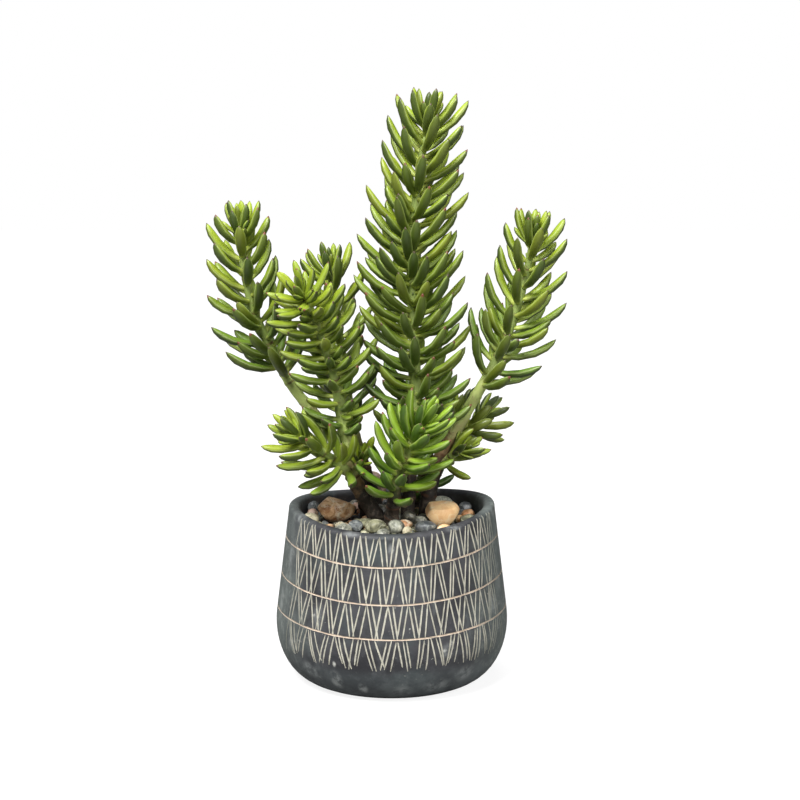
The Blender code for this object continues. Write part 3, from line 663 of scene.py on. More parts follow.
# Each band: its top and bottom, its number of peaks, the scratches in a leg, how far these spread from
# the peak and how far each leans, as shares of the space between two peaks, and the angle of one peak.
BANDS = (
    (TOP_OF_CUTS, LINE_HEIGHTS[0], 34, 2, 0.27, 0.25, -96.4),
    (LINE_HEIGHTS[0], LINE_HEIGHTS[1], 34, 2, 0.26, 0.26, -97.7),
    (LINE_HEIGHTS[1], LINE_HEIGHTS[2], 34, 2, 0.27, 0.27, -102.6),
    (LINE_HEIGHTS[2], ENDS_OF_CUTS, 23, 3, 0.32, 0.17, -103.1),
)
# The plain stretches at the pot's sides: the middle angle of each and its half width.
PLAIN_SIDES = ((180, 27), (0, 19))


def on_plain_side(angle):
    turns = [abs((math.degrees(angle) - side + 180) % 360 - 180) / half for side, half in PLAIN_SIDES]
    return min(turns) < 1 + draw.uniform(-0.12, 0.12)


draw = random.Random(5)
for top, bottom, peaks, repeats, spread, lean, peak in BANDS:
    pitch = math.tau / peaks
    for number in range(peaks):
        apex = math.radians(peak) + pitch * (number + draw.uniform(-0.05, 0.05))
        for way in (-1, 1):
            leg_lean = lean + draw.uniform(-0.09, 0.09)
            for repeat in range(repeats):
                shift = lerp(0.02, spread, repeat / (repeats - 1)) + draw.uniform(-0.05, 0.05)
                high = (apex + way * pitch * shift, top - draw.uniform(-0.0001, 0.0012))
                low = (high[0] + way * pitch * (leg_lean + draw.uniform(-0.04, 0.04)),
                       bottom + draw.uniform(-0.0007, 0.0008))
                if bottom == ENDS_OF_CUTS:
                    low = (low[0], bottom + draw.uniform(-0.0014, 0.0024))
                width, depth = draw.uniform(*SCRATCH_WIDTHS), draw.uniform(*SCRATCH_DEPTHS)
                if not on_plain_side(high[0]):
                    scratch(high, low, width, depth, clay_cut)
for height in LINE_HEIGHTS:
    for pull in range(LINE_PULLS):
        start = math.tau * pull / LINE_PULLS
        end = start + math.tau * PULL_OVERLAP / LINE_PULLS
        first = (start, height + draw.uniform(-0.0002, 0.0002))
        scratch(first, (end, height), LINE_WIDTH, LINE_DEPTH, clay_line)


# %% Cut them out of the wall
activate(pot)
cut = pot.modifiers.new("pattern", "BOOLEAN")
cut.operation = "DIFFERENCE"
cut.operand_type = "COLLECTION"
cut.collection = scratches
cut.solver = "EXACT"
cut.material_mode = "TRANSFER"
bpy.ops.object.modifier_apply(modifier=cut.name)
for cutter in list(scratches.objects) + [tool]:
    bpy.data.objects.remove(cutter)
bpy.data.collections.remove(scratches)
bpy.ops.object.shade_smooth_by_angle(angle=CREASE)
dress(pot, "pot", "pot")
print("carved pot", len(pot.data.polygons), "faces")


# %% [markdown]
# ## Soil
# The soil shows only in the dark gaps between the pebbles: a moist, crumbly mix. A plug of the packed
# size gets a finely divided top, and a cloud pattern pushes crumbs up and down in it.

# %% Soil
SOIL_TOP = 0.0945
SOIL_SIDES = 72
SOIL_RINGS = 26
CRUMB = 0.0016
SOIL_SLACK = 0.0009           # between the soil's edge and the wall
PLUG_FOOT = 0.9               # the width of the plug's foot over that of its top
PLUG_LIFT = 0.002

soil_low, soil_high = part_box("soil")
soil_radius = outer_radius(SOIL_TOP) - WALL - SOIL_SLACK
plug_low = soil_low.z + PLUG_LIFT
deselect()
bpy.ops.mesh.primitive_circle_add(vertices=SOIL_SIDES, radius=soil_radius * PLUG_FOOT,
                                  fill_type="NGON", location=(0, 0, plug_low))
soil = bpy.context.object
soil.name = "soil_mix"
start_editing()
bpy.ops.mesh.select_all(action="SELECT")
bpy.ops.mesh.extrude_region_move(TRANSFORM_OT_translate={"value": (0, 0, SOIL_TOP - soil_low.z - PLUG_LIFT)})
bpy.ops.transform.resize(value=(1 / PLUG_FOOT, 1 / PLUG_FOOT, 1), center_override=(0, 0, 0))
for ring in range(SOIL_RINGS, 1, -1):
    bpy.ops.mesh.inset(thickness=soil_radius / SOIL_RINGS)
bpy.ops.mesh.poke()
bpy.ops.mesh.select_all(action="SELECT")
bpy.ops.mesh.normals_make_consistent(inside=False)
stop_editing()
bpy.ops.object.transform_apply(location=True)
top_corners = soil.vertex_groups.new(name="top")
top_corners.add([corner.index for corner in soil.data.vertices
                 if corner.co.z > SOIL_TOP - 0.002 and corner.co.xy.length < soil_radius - 0.001], 1, "ADD")
clumps = bpy.data.textures.new("clumps", "CLOUDS")
clumps.noise_scale = 0.004
clumps.noise_depth = 3
crumble = soil.modifiers.new("crumble", "DISPLACE")
crumble.texture = clumps
crumble.direction = "Z"
crumble.strength = CRUMB
crumble.vertex_group = "top"
activate(soil)
bpy.ops.object.modifier_apply(modifier=crumble.name)
bpy.ops.object.shade_smooth()

earth = Finish("dark_soil", 0.95)
fleck = earth.span(earth.noise(700, 3, 0.7), 0.60, 0.72)
earth_colour = earth.mix(earth.noise(160, 4), (0.010, 0.008, 0.006), (0.040, 0.030, 0.022))
earth_colour = earth.mix(fleck, earth_colour, (0.13, 0.10, 0.07))
soil.data.materials.append(earth.finish(earth_colour, earth.noise(450, 4, 0.7), 0.0012))
dress(soil, "soil", "soil")
print("soil", len(soil.data.polygons), "faces")


# %% [markdown]
# ## Pebbles
# River pebbles are stones whose flat broken faces the water has rounded off. A finely divided ball is
# pressed flat a little from a few random sides, given soft dents, and fitted to its packed stone: the
# frame says where each one lies, how long it is and how it is turned. Their finishes are mottled.

# %% Nine kinds of stone
# Each kind: its main colour, a darker and a paler one, and its roughness.
STONE_KINDS = {
    "tan": ((0.93, 0.64, 0.33), (0.82, 0.49, 0.23), (0.95, 0.82, 0.60), 0.45),
    "brown": ((0.78, 0.52, 0.28), (0.36, 0.155, 0.065), (0.94, 0.84, 0.64), 0.40),
    "orange": ((0.80, 0.44, 0.21), (0.50, 0.22, 0.09), (0.86, 0.62, 0.38), 0.45),
    "pink": ((0.60, 0.40, 0.30), (0.28, 0.17, 0.13), (0.80, 0.62, 0.50), 0.45),
    "cream": ((0.66, 0.60, 0.42), (0.37, 0.33, 0.21), (0.84, 0.79, 0.62), 0.45),
    "olive": ((0.300, 0.295, 0.180), (0.090, 0.092, 0.058), (0.62, 0.60, 0.42), 0.34),
    "grey": ((0.320, 0.325, 0.260), (0.100, 0.103, 0.085), (0.64, 0.63, 0.51), 0.34),
    "slate": ((0.190, 0.205, 0.205), (0.066, 0.073, 0.078), (0.48, 0.50, 0.45), 0.32),
    "dark": ((0.140, 0.135, 0.105), (0.044, 0.042, 0.034), (0.42, 0.40, 0.29), 0.32),
}


def stone_finish(kind):
    """Cloudy colour with darker patches, pale veins and fine pores"""
    middle, dark, pale, roughness = STONE_KINDS[kind]
    made = Finish(f"stone_{kind}", roughness)
    colour = made.mix(made.span(made.noise(150, 6, 0.7, bend=0.5), 0.40, 0.60), dark, middle)
    colour = made.mix(made.span(made.noise(110, 6, 0.7), 0.53, 0.66), colour, pale)
    vein = made.away_from(0.5, made.noise(70, 3, 0.5, bend=1.2))
    colour = made.mix(made.span(vein, 0.0, 0.02, 0.5, 0.0), colour, pale)
    colour = made.mix(made.span(made.noise(900, 3, 0.7), 0.58, 0.70, 0.0, 0.5), colour, dark)
    return made.finish(colour, made.noise(520, 5, 0.7), 0.00020)


stone_finishes = {kind: stone_finish(kind) for kind in STONE_KINDS}
print("kinds of stone", len(stone_finishes))


# %% Shape and lay the pebbles
BIG_STONE = 0.014             # a longer stone gets finer faces
PRESSES = 7
PRESS_DEPTH = (0.72, 0.98)
PRESS_SHARE = 0.85            # how much of what stands past a pressed face is taken off
DENT = 0.09
DENT_WAVES = 3.1
STONE_SIZE = 1.12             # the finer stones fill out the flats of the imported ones
# The flat faces of the two big stones in front: the way each one looks and how deep it is pressed.
BIG_FACES = {
    "stone_01": (((0.05, 0.1, 1.0), 0.52), ((-0.80, -0.15, -0.62), 0.50), ((0.72, -0.2, -0.66), 0.62),
                 ((0.1, -1.0, 0.05), 0.72), ((0.9, 0.0, 0.45), 0.80)),
    "stone_02": (((-0.50, -0.2, 0.85), 0.52), ((0.75, -0.3, 0.60), 0.74), ((-0.2, -0.9, -0.40), 0.66),
                 ((0.85, -0.2, -0.50), 0.70), ((0.0, 0.3, 0.95), 0.66)),
}


def turned(places, turn):
    """Places turned round the upright axis"""
    cos, sin = math.cos(turn), math.sin(turn)
    return places @ np.array([[cos, sin, 0], [-sin, cos, 0], [0, 0, 1]])


def lie_of(node):
    """A packed stone's middle, its half sizes and its turn on the soil"""
    places = corners_of(frame["nodes"][node])
    middle = (places.min(0) + places.max(0)) / 2
    spread = np.cov((places[:, :2] - middle[:2]).T)
    values, ways = np.linalg.eigh(spread)
    turn = math.atan2(ways[1, 1], ways[0, 1])
    along = turned(places - middle, -turn)
    return middle, (along.max(0) - along.min(0)) / 2, turn


def pebble(node, kind, draw):
    middle, half, turn = lie_of(node)
    deselect()
    bpy.ops.mesh.primitive_ico_sphere_add(subdivisions=5 if half[0] * 2 > BIG_STONE else 4, radius=1)
    stone = bpy.context.object
    stone.name = f"pebble_{node[-2:]}"
    places = corners_of(stone)
    faces = list(BIG_FACES.get(node, ()))
    while len(faces) < PRESSES:
        way = (draw.gauss(0, 1), draw.gauss(0, 1), draw.gauss(0, 1))
        faces.append((way, draw.uniform(*PRESS_DEPTH)))
    for way, limit in faces:
        way = np.array(Vector(way).normalized())
        over = np.maximum(places @ way - limit, 0)
        places = places - PRESS_SHARE * over[:, None] * way
    phases = [draw.uniform(0, math.tau) for _ in range(3)]
    waves = sum(np.sin(DENT_WAVES * places[:, axis] + phases[axis]) for axis in range(3)) / 3
    places = places * (1 - DENT / 2 + DENT / 2 * waves)[:, None]
    low, high = places.min(0), places.max(0)
    places = ((places - low) / (high - low) * 2 - 1) * half * STONE_SIZE
    move_corners(stone, turned(places, turn) + middle)
    bpy.ops.object.shade_smooth()
    stone.data.materials.append(stone_finishes[kind])
    dress(stone, f"stone_{kind}", node)


SLOTS = {part["node"]: part["material_slot"] for part in frame["record"]["subparts"]}
draw = random.Random(17)
stone_nodes = sorted(name for name in frame["nodes"] if name.startswith("stone_"))
for node in stone_nodes:
    pebble(node, SLOTS[node].removeprefix("stone_"), draw)
print("pebbles", len(stone_nodes))


# %% [markdown]
# ## The plants' growth
# Each shoot follows a smooth line from its root to its crown, and its leaves follow a spiral up that
# line, four or five to a turn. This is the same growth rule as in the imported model, with the same
# small irregularities, so that a finer leaf lies where its plainer one does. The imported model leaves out
# some of the crown leaves that the rule gives, and those are grown here on the rule's own line.

# %% The shoots
# Each shoot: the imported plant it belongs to, where it is rooted, the seed of its irregularities, its
# route from the root up, its radius at the root and tip, where its leaves begin, the rise of their
# spiral in one turn, the leaves to a turn, the leaf length low, in the middle and at the top, the leaf
# width, the angles at which a leaf leaves the stem and ends, low and at the top, the turn of the
# first leaf and the number of crown leaves. Lengths are in millimetres here.
SHOOTS = (
    dict(plant="stem_tall", root=(9.5, 6), seed=11,
         route=((9.9, 6, 104), (11.7, 6, 126), (14, 6, 150), (14.6, 5, 175), (13.4, 4, 206),
                (12.1, 3, 232), (11.6, 2, 266), (15.6, 1, 298), (19.6, 0, 326), (21.2, 0, 337)),
         radius=(3.6, 1.6), leafy=68, gap=10.6, ring=5, length=(36, 43, 33), width=7.4,
         leave=(94, 66), tip=(34, 20), turn=0, crown=12),
    dict(plant="stem_left", root=(-15, 15), seed=23,
         route=((-17, 15, 105), (-24, 15, 127), (-34, 15, 142), (-46.1, 14, 157.7), (-60.4, 12, 176.4),
                (-69.8, 10, 193.9), (-78.3, 6, 212.8), (-84.4, 3, 230), (-88, 0, 254), (-89.2, -2, 274.5)),
         radius=(3.9, 1.5), leafy=116, gap=10, ring=4, length=(39, 36, 28), width=7.6,
         leave=(76, 64), tip=(24, 14), turn=0, crown=11),
    dict(plant="stem_middle", root=(-8, -3), seed=31,
         route=((-11, -4, 102), (-18, -7, 114), (-24, -10, 127), (-27.5, -13, 142), (-28.8, -15, 156),
                (-30.8, -18, 173), (-35, -21, 192), (-41.5, -25, 213), (-48, -31, 230), (-52, -37, 239)),
         radius=(4.6, 1.6), leafy=79, gap=10.2, ring=5, length=(26, 30, 29), width=7.2,
         leave=(84, 78), tip=(42, 44), turn=36, crown=11),
    dict(plant="stem_back", root=(-9, 27), seed=43,
         route=((-11, 28, 102), (-17, 30, 122), (-24, 31, 146), (-28, 31, 171), (-31, 30, 196),
                (-34, 29, 220), (-37, 28, 238), (-38, 28, 246)),
         radius=(3.8, 1.6), leafy=80, gap=12, ring=4, length=(26, 31, 30), width=7.2,
         leave=(82, 62), tip=(40, 18), turn=20, crown=10),
    dict(plant="stem_right", root=(21, 14), seed=53,
         route=((22.2, 14, 105), (25.8, 14, 121), (31.8, 12, 138), (40.2, 10, 152), (48.5, 8, 167),
                (58, 6, 184), (65, 5, 198), (71.9, 3, 216), (77.5, 1, 236), (81.5, -1, 255),
                (83.4, -3, 268.5)),
         radius=(4.2, 1.5), leafy=106, gap=10.2, ring=4, length=(36, 37, 30), width=7.2,
         leave=(80, 62), tip=(28, 12), turn=10, crown=11),
    dict(plant="sprig_middle", root=(-1, -12), seed=61,
         route=((0.5, -14, 104), (2, -17, 117), (5, -21, 130), (9.5, -25, 143), (14.5, -28, 154),
                (18.5, -30, 163)),
         radius=(4.2, 1.7), leafy=33, gap=9.6, ring=5, length=(32, 34, 30), width=7.4,
         leave=(82, 60), tip=(46, 18), turn=18, crown=10),
    dict(plant="stem_middle", root=None, seed=71,
         route=((-23.5, -10, 126), (-31, -18, 134), (-40, -25, 143), (-49, -29, 150), (-56, -31, 156)),
         radius=(2.8, 1.6), leafy=7, gap=10, ring=5, length=(32, 34, 29), width=7.2,
         leave=(80, 60), tip=(34, 16), turn=0, crown=9),
    dict(plant="stem_middle", root=None, seed=113,
         route=((-23.5, -10, 126), (-20.5, -14, 132), (-18.5, -17, 138)),
         radius=(2.4, 1.5), leafy=6, gap=9, ring=4, length=(25, 26, 24), width=7.0,
         leave=(62, 48), tip=(18, 8), turn=0, crown=5),
    dict(plant="stem_right", root=None, seed=83,
         route=((34, 11.5, 141), (40, 16, 145), (48, 22, 150), (57, 27, 155)),
         radius=(2.6, 1.5), leafy=12, gap=9, ring=5, length=(25, 27, 27), width=6.8,
         leave=(76, 62), tip=(40, 24), turn=0, crown=8),
    dict(plant="stem_right", root=None, seed=89,
         route=((26.5, 14, 124), (32, 11, 130), (38, 8, 135), (44, 6, 139)),
         radius=(2.6, 1.5), leafy=9, gap=9, ring=4, length=(25, 26, 25), width=6.8,
         leave=(76, 60), tip=(40, 22), turn=40, crown=7),
    dict(plant="stem_right", root=None, seed=101,
         route=((33, 12, 140), (35, 16, 150), (38, 18, 160)),
         radius=(2.2, 1.4), leafy=9, gap=8, ring=4, length=(21, 23, 22), width=6.6,
         leave=(60, 46), tip=(30, 16), turn=30, crown=6),
    dict(plant="sprig_back", root=(15, 36), seed=97,
         route=((16.3, 36, 102), (21, 39, 122), (28, 43, 142), (33, 45, 156)),
         radius=(3.4, 1.6), leafy=20, gap=13, ring=5, length=(24, 26, 23), width=7.0,
         leave=(80, 54), tip=(46, 16), turn=0, crown=8),
)


# %% Lines of growth
ROOT_DEPTH = 0.014
SOIL_GAP = 0.0003
SPLINE_PARTS = 12


class Route:
    """A smooth line through a few points, read by the distance along it"""

    def __init__(self, points):
        knots = [2 * points[0] - points[1]] + points + [2 * points[-1] - points[-2]]
        line = []
        for a, b, c, d in zip(knots, knots[1:], knots[2:], knots[3:]):
            for part in range(SPLINE_PARTS):
                t = part / SPLINE_PARTS
                even = 2 * b + (c - a) * t + (2 * a - 5 * b + 4 * c - d) * t * t
                line.append((even + (3 * b - a - 3 * c + d) * t ** 3) / 2)
        line.append(points[-1])
        self.points = line
        self.marks = [0.0]
        for a, b in zip(line, line[1:]):
            self.marks.append(self.marks[-1] + (b - a).length)
        self.length = self.marks[-1]

    def at(self, distance):
        """The point at a distance from the root, and the line's direction there"""
        distance = min(max(distance, 0.0), self.length)
        index = min(max(bisect.bisect_right(self.marks, distance) - 1, 0), len(self.points) - 2)
        a, b = self.points[index], self.points[index + 1]
        share = (distance - self.marks[index]) / (self.marks[index + 1] - self.marks[index])
        return a.lerp(b, share), (b - a).normalized()


def facing(direction):
    """Two directions square to a stem: one towards the front, one to its side"""
    front = Vector((0, -1, 0))
    front = (front - direction * front.dot(direction)).normalized()
    return front, direction.cross(front)


def shoot_route(shoot):
    points = [Vector(point) / 1000 for point in shoot["route"]]
    if shoot["root"]:
        x, y = shoot["root"][0] / 1000, shoot["root"][1] / 1000
        points = [Vector((x, y, SOIL_TOP - ROOT_DEPTH)), Vector((x, y, SOIL_TOP - SOIL_GAP))] + points
    return Route(points)


# %% Where each leaf grows
CROWN_LENGTH = 0.008
CROWN_SHARES = (0.92, 0.60)
CROWN_HEART = (14, 4)
GOLDEN_TURN = 137.5
MIDDLE_SHARE = 0.4
SLIDE_JITTER, TURN_JITTER, LIFT_JITTER, LENGTH_JITTER = 0.0007, 8, 5, 0.08
LEAF_PARTS = 12
BEND_SIZES = (1.0, 0.88, 0.76, 0.62)
BEND_LIFTS = (0, -14, 14, -28)
BEND_TURNS = (0, 12, -12, 24, -24)
TIP_REACH = 0.00005           # a finer leaf's tip lies this close to its packed one


def length_at(shoot, share):
    """The leaf length at a share of the leafy stretch"""
    low, middle, high = (length / 1000 for length in shoot["length"])
    if share > MIDDLE_SHARE:
        return lerp(middle, high, (share - MIDDLE_SHARE) / (1 - MIDDLE_SHARE))
    return lerp(low, middle, share / MIDDLE_SHARE)


def leafy_stretch(shoot, route):
    """Where the leaves begin, where the crown begins, and how many leaves stand between"""
    start, end = shoot["leafy"] / 1000, route.length - CROWN_LENGTH
    return start, end, round((end - start) / (shoot["gap"] / 1000) * shoot["ring"])


def leaf_sites(shoot, route):
    """Each leaf's distance along the stem, turn, length and angles, up the spiral and then the crown"""
    draw = random.Random(shoot["seed"])
    start, end, count = leafy_stretch(shoot, route)
    high = length_at(shoot, 1)
    step = (360 * (2 if shoot["ring"] == 5 else 1) + 180 / shoot["ring"]) / shoot["ring"]
    for leaf in range(count):
        share = leaf / count
        yield (lerp(start, end, share) + draw.uniform(-SLIDE_JITTER, SLIDE_JITTER),
               shoot["turn"] + step * leaf + draw.uniform(-TURN_JITTER, TURN_JITTER),
               length_at(shoot, share) * (1 + draw.uniform(-LENGTH_JITTER, LENGTH_JITTER)),
               lerp(*shoot["leave"], share) + draw.uniform(-LIFT_JITTER, LIFT_JITTER),
               lerp(*shoot["tip"], share) + draw.uniform(-LIFT_JITTER, LIFT_JITTER))
    for leaf in range(shoot["crown"]):
        share = leaf / (shoot["crown"] - 1)
        yield (lerp(end, route.length - CROWN_LENGTH / 8, share),
               shoot["turn"] + step * count + GOLDEN_TURN * leaf,
               high * lerp(*CROWN_SHARES, share) * (1 + draw.uniform(-LENGTH_JITTER, LENGTH_JITTER)),
               lerp(shoot["leave"][1], CROWN_HEART[0], share),
               lerp(shoot["tip"][1], CROWN_HEART[1], share))


def leaf_line(route, distance, turn, length, leave, tip):
    """A leaf's centre line, and the direction across it"""
    base, direction = route.at(distance)
    front, side = facing(direction)
    outward = front * math.cos(math.radians(turn)) + side * math.sin(math.radians(turn))
    points = [base]
    for part in range(LEAF_PARTS):
        angle = math.radians(lerp(leave, tip, (part + 0.5) / LEAF_PARTS))
        heading = direction * math.cos(angle) + outward * math.sin(angle)
        points.append(points[-1] + heading * (length / LEAF_PARTS))
    return points, direction.cross(outward)


def packed_line(corners, route, site):
    """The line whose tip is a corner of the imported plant: straight from the rule, or bent clear"""
    distance, turn, length, leave, tip = site
    for size in BEND_SIZES:
        for lift in BEND_LIFTS:
            for swing in BEND_TURNS:
                line = leaf_line(route, distance, turn + swing, length * size, leave + lift, tip + lift)
                if corners.find(line[0][-1])[2] < TIP_REACH:
                    return line
    return None


def corner_tree(node):
    mesh = frame["nodes"][node].data
    tree = kdtree.KDTree(len(mesh.vertices))
    for corner in mesh.vertices:
        tree.insert(corner.co, corner.index)
    tree.balance()
    return tree


# %% [markdown]
# ## One leaf, copied
# A leaf is a slender finger: a narrow pale root, a full middle, a pointed tip, a little flatter above
# than below. One leaf is modelled straight, by extruding and resizing a ring of eight corners. Each
# copy is then bent along its own line. It also carries a few numbers for the finish: how far along the
# leaf a corner lies, whether it is on the underside, and this leaf's own tone and youth.

# %% The straight leaf
LEAF_SIDES = 8
LEAF_STATIONS = (0.12, 0.32, 0.58, 0.78, 0.91, 0.97)
LEAF_WIDEST = 0.58
LEAF_POINT = 2.3
ROOT_SHARE = 0.46
UPPER_FULLNESS = 0.72
LOWER_FULLNESS = 0.90


def leaf_fullness(share):
    """A leaf's width along its length"""
    if share < LEAF_WIDEST:
        return lerp(ROOT_SHARE, 1.0, math.sin(math.pi / 2 * share / LEAF_WIDEST))
    return math.cos(math.pi / 2 * ((share - LEAF_WIDEST) / (1 - LEAF_WIDEST)) ** LEAF_POINT)


deselect()
bpy.ops.mesh.primitive_circle_add(vertices=LEAF_SIDES, radius=ROOT_SHARE, fill_type="NOTHING",
                                  rotation=(0, math.pi / 2, 0))
leaf = bpy.context.object
leaf.name = "one_leaf"
bpy.ops.object.transform_apply(rotation=True)
start_editing()
bpy.ops.mesh.select_all(action="SELECT")
bpy.ops.mesh.edge_face_add()
before = 0.0
for share in LEAF_STATIONS:
    size = leaf_fullness(share) / leaf_fullness(before)
    bpy.ops.mesh.extrude_region_move(TRANSFORM_OT_translate={"value": (share - before, 0, 0)})
    bpy.ops.transform.resize(value=(1, size, size), center_override=(share, 0, 0))
    before = share
bpy.ops.mesh.extrude_region_move(TRANSFORM_OT_translate={"value": (1 - before, 0, 0)})
bpy.ops.mesh.merge(type="CENTER")
for test, fullness in ((lambda corner: corner.co.z > 1e-6, UPPER_FULLNESS),
                       (lambda corner: corner.co.z < -1e-6, LOWER_FULLNESS)):
    pick(test)
    bpy.ops.transform.resize(value=(1, 1, fullness), center_override=(0, 0, 0))
bpy.ops.mesh.select_all(action="SELECT")
bpy.ops.mesh.normals_make_consistent(inside=False)
stop_editing()
bpy.ops.object.shade_smooth()
leaf_shape = corners_of(leaf)
sizes = np.array([max(leaf_fullness(min(share, 1.0)), 0.05) for share in leaf_shape[:, 0]])
for name, values in (("along", leaf_shape[:, 0]), ("under", 0.5 - 0.5 * leaf_shape[:, 2] / sizes)):
    leaf.data.attributes.new(name, "FLOAT", "POINT").data.foreach_set("value", values)
for name in ("tone", "young"):
    leaf.data.attributes.new(name, "FLOAT", "POINT")
print("one leaf", len(leaf.data.polygons), "faces")


# %% Bend a copy along its line
SLIM = 0.84                   # a leaf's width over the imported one's
SHORT_LEAF = 0.25             # a short leaf is at most this wide over its length


def leaf_width(length, width):
    return min(width * SLIM, length * SHORT_LEAF)


def along_line(shares, points):
    """The middle and the direction of a line at shares of its length"""
    line = np.array([tuple(point) for point in points])
    steps = np.gradient(line, axis=0)
    steps /= np.linalg.norm(steps, axis=1)[:, None]
    marks = np.linspace(0, 1, len(line))
    middles = np.stack([np.interp(shares, marks, line[:, axis]) for axis in range(3)], axis=1)
    ways = np.stack([np.interp(shares, marks, steps[:, axis]) for axis in range(3)], axis=1)
    return middles, ways / np.linalg.norm(ways, axis=1)[:, None]


def grow_leaf(points, across, length, width, tone, young):
    middles, ways = along_line(leaf_shape[:, 0], points)
    across = np.array(across)
    upward = np.cross(ways, across)
    half = leaf_width(length, width) / 2
    places = middles + across * leaf_shape[:, 1:2] * half + upward * leaf_shape[:, 2:3] * half
    grown = bpy.data.objects.new("leaf", leaf.data.copy())
    move_corners(grown, places)
    for name, value in (("tone", tone), ("young", young)):
        grown.data.attributes[name].data.foreach_set("value", np.full(len(places), value))
    bpy.context.scene.collection.objects.link(grown)
    return grown


def joined(name, pieces):
    deselect()
    for piece in pieces:
        piece.select_set(True)
    bpy.context.view_layer.objects.active = pieces[0]
    bpy.ops.object.join()
    pieces[0].name = name
    return pieces[0]


# %% [markdown]
# ## Stems
# A stem is jointed: every leaf that fell left a ring round it. A straight tube is divided into many
# short rings, swollen a little at each joint, and bent along its route. Low down it is old, brown
# and corky, further up green with brown joints.

# %% One stem
STEM_SIDES = 14
STEM_RING = 0.0009
STEM_TAPER = 0.8
JOINT_GAP = 0.0070
JOINT_SWELL = 0.15
JOINT_WIDTH = 0.0007
STEM_FULLNESS = 1.24
OLD_STEM = 0.072              # a stem is brown and corky about this far above the soil
OLD_SPREAD = (0.80, 1.20)
SIDE_AGE = 0.30               # how old a side shoot looks where it leaves its stem
SIDE_FADE = 0.012
STEM_END = 0.002              # the last stretch, over which a stem closes
COVER_FADE = 0.015            # the stretch over which a bare stem darkens under its leaves, as painted shade


def stem_radius(shoot, route, distance):
    low, high = shoot["radius"]
    return lerp(low, high, (distance / route.length) ** STEM_TAPER) / 1000


def grow_stem(shoot, route):
    deselect()
    bpy.ops.mesh.primitive_cylinder_add(vertices=STEM_SIDES, radius=1, depth=1, location=(0, 0, 0.5))
    stem = bpy.context.object
    bpy.ops.object.transform_apply(location=True)
    start_editing("EDGE")
    pick(lambda edge: abs(edge.verts[0].co.z - edge.verts[1].co.z) > 0.5, "edges")
    bpy.ops.mesh.subdivide(number_cuts=int(route.length / STEM_RING))
    stop_editing()
    shape = corners_of(stem)
    distances = shape[:, 2] * route.length
    phase = (distances - ROOT_DEPTH) / JOINT_GAP
    to_joint = np.abs(phase - np.round(phase)) * JOINT_GAP
    joint = np.exp(-(to_joint / JOINT_WIDTH) ** 2)
    radii = np.array([stem_radius(shoot, route, distance) for distance in distances])
    radii = radii * STEM_FULLNESS * (1 + JOINT_SWELL * joint)
    radii = radii * np.clip((route.length - distances) / STEM_END, 0.05, 1)
    spots = [route.at(distance) for distance in distances]
    sides = [facing(direction) for _, direction in spots]
    places = [middle + (front * x + side * y) * radius
              for (middle, _), (front, side), (x, y, _), radius in zip(spots, sides, shape, radii)]
    move_corners(stem, [tuple(place) for place in places])
    old = OLD_STEM * random.Random(shoot["seed"]).uniform(*OLD_SPREAD)
    age = np.clip(1 - (distances - ROOT_DEPTH) / old, 0, 1)
    if not shoot["root"]:
        age = np.full(len(distances), SIDE_AGE) * np.clip(1 - distances / SIDE_FADE, 0, 1)
    leaf_shade = np.clip((distances - shoot["leafy"] / 1000) / COVER_FADE, 0, 1)
    for name, values in (("age", age), ("joint", joint), ("leaf_shade", leaf_shade)):
        stem.data.attributes.new(name, "FLOAT", "POINT").data.foreach_set("value", values)
    bpy.ops.object.shade_smooth()
    return stem


# %% [markdown]
# ## The leaves' and stems' finish
# Fresh leaves are a bright olive green with a satin gloss, pale at the root, with a tiny red-brown
# tip. Their undersides are a duller green, darkened much further by painted shade. A pale line along
# each leaf's sides is a painted highlight. Every leaf differs a little from its neighbour, and
# the youngest, in the crowns, are the palest.

# %% Leaf and stem finishes
# Each kind of leaf: its upper side, its underside, a duller green with painted shade, and the upper side of an
# old leaf low on the shoot.
LEAF_GREENS = {
    "leaves": ((0.280, 0.375, 0.024), (0.046, 0.075, 0.012), (0.135, 0.240, 0.028)),
    "bright_leaves": ((0.260, 0.410, 0.026), (0.054, 0.108, 0.012), (0.155, 0.310, 0.024)),
    "deep_leaves": ((0.140, 0.270, 0.024), (0.034, 0.075, 0.014), (0.092, 0.195, 0.026)),
}
LEAF_PALE = (0.50, 0.55, 0.12)
LEAF_RIM_HIGHLIGHT = (0.50, 0.56, 0.26)
LEAF_TIPS = ((0.060, 0.026, 0.018), (0.17, 0.032, 0.024))
# A stem's colour at four ages, from its green top to its corky foot.
STEM_AGES = ((0.0, (0.46, 0.56, 0.16)), (0.20, (0.46, 0.46, 0.18)), (0.38, (0.30, 0.19, 0.085)),
             (0.60, (0.024, 0.018, 0.013)))


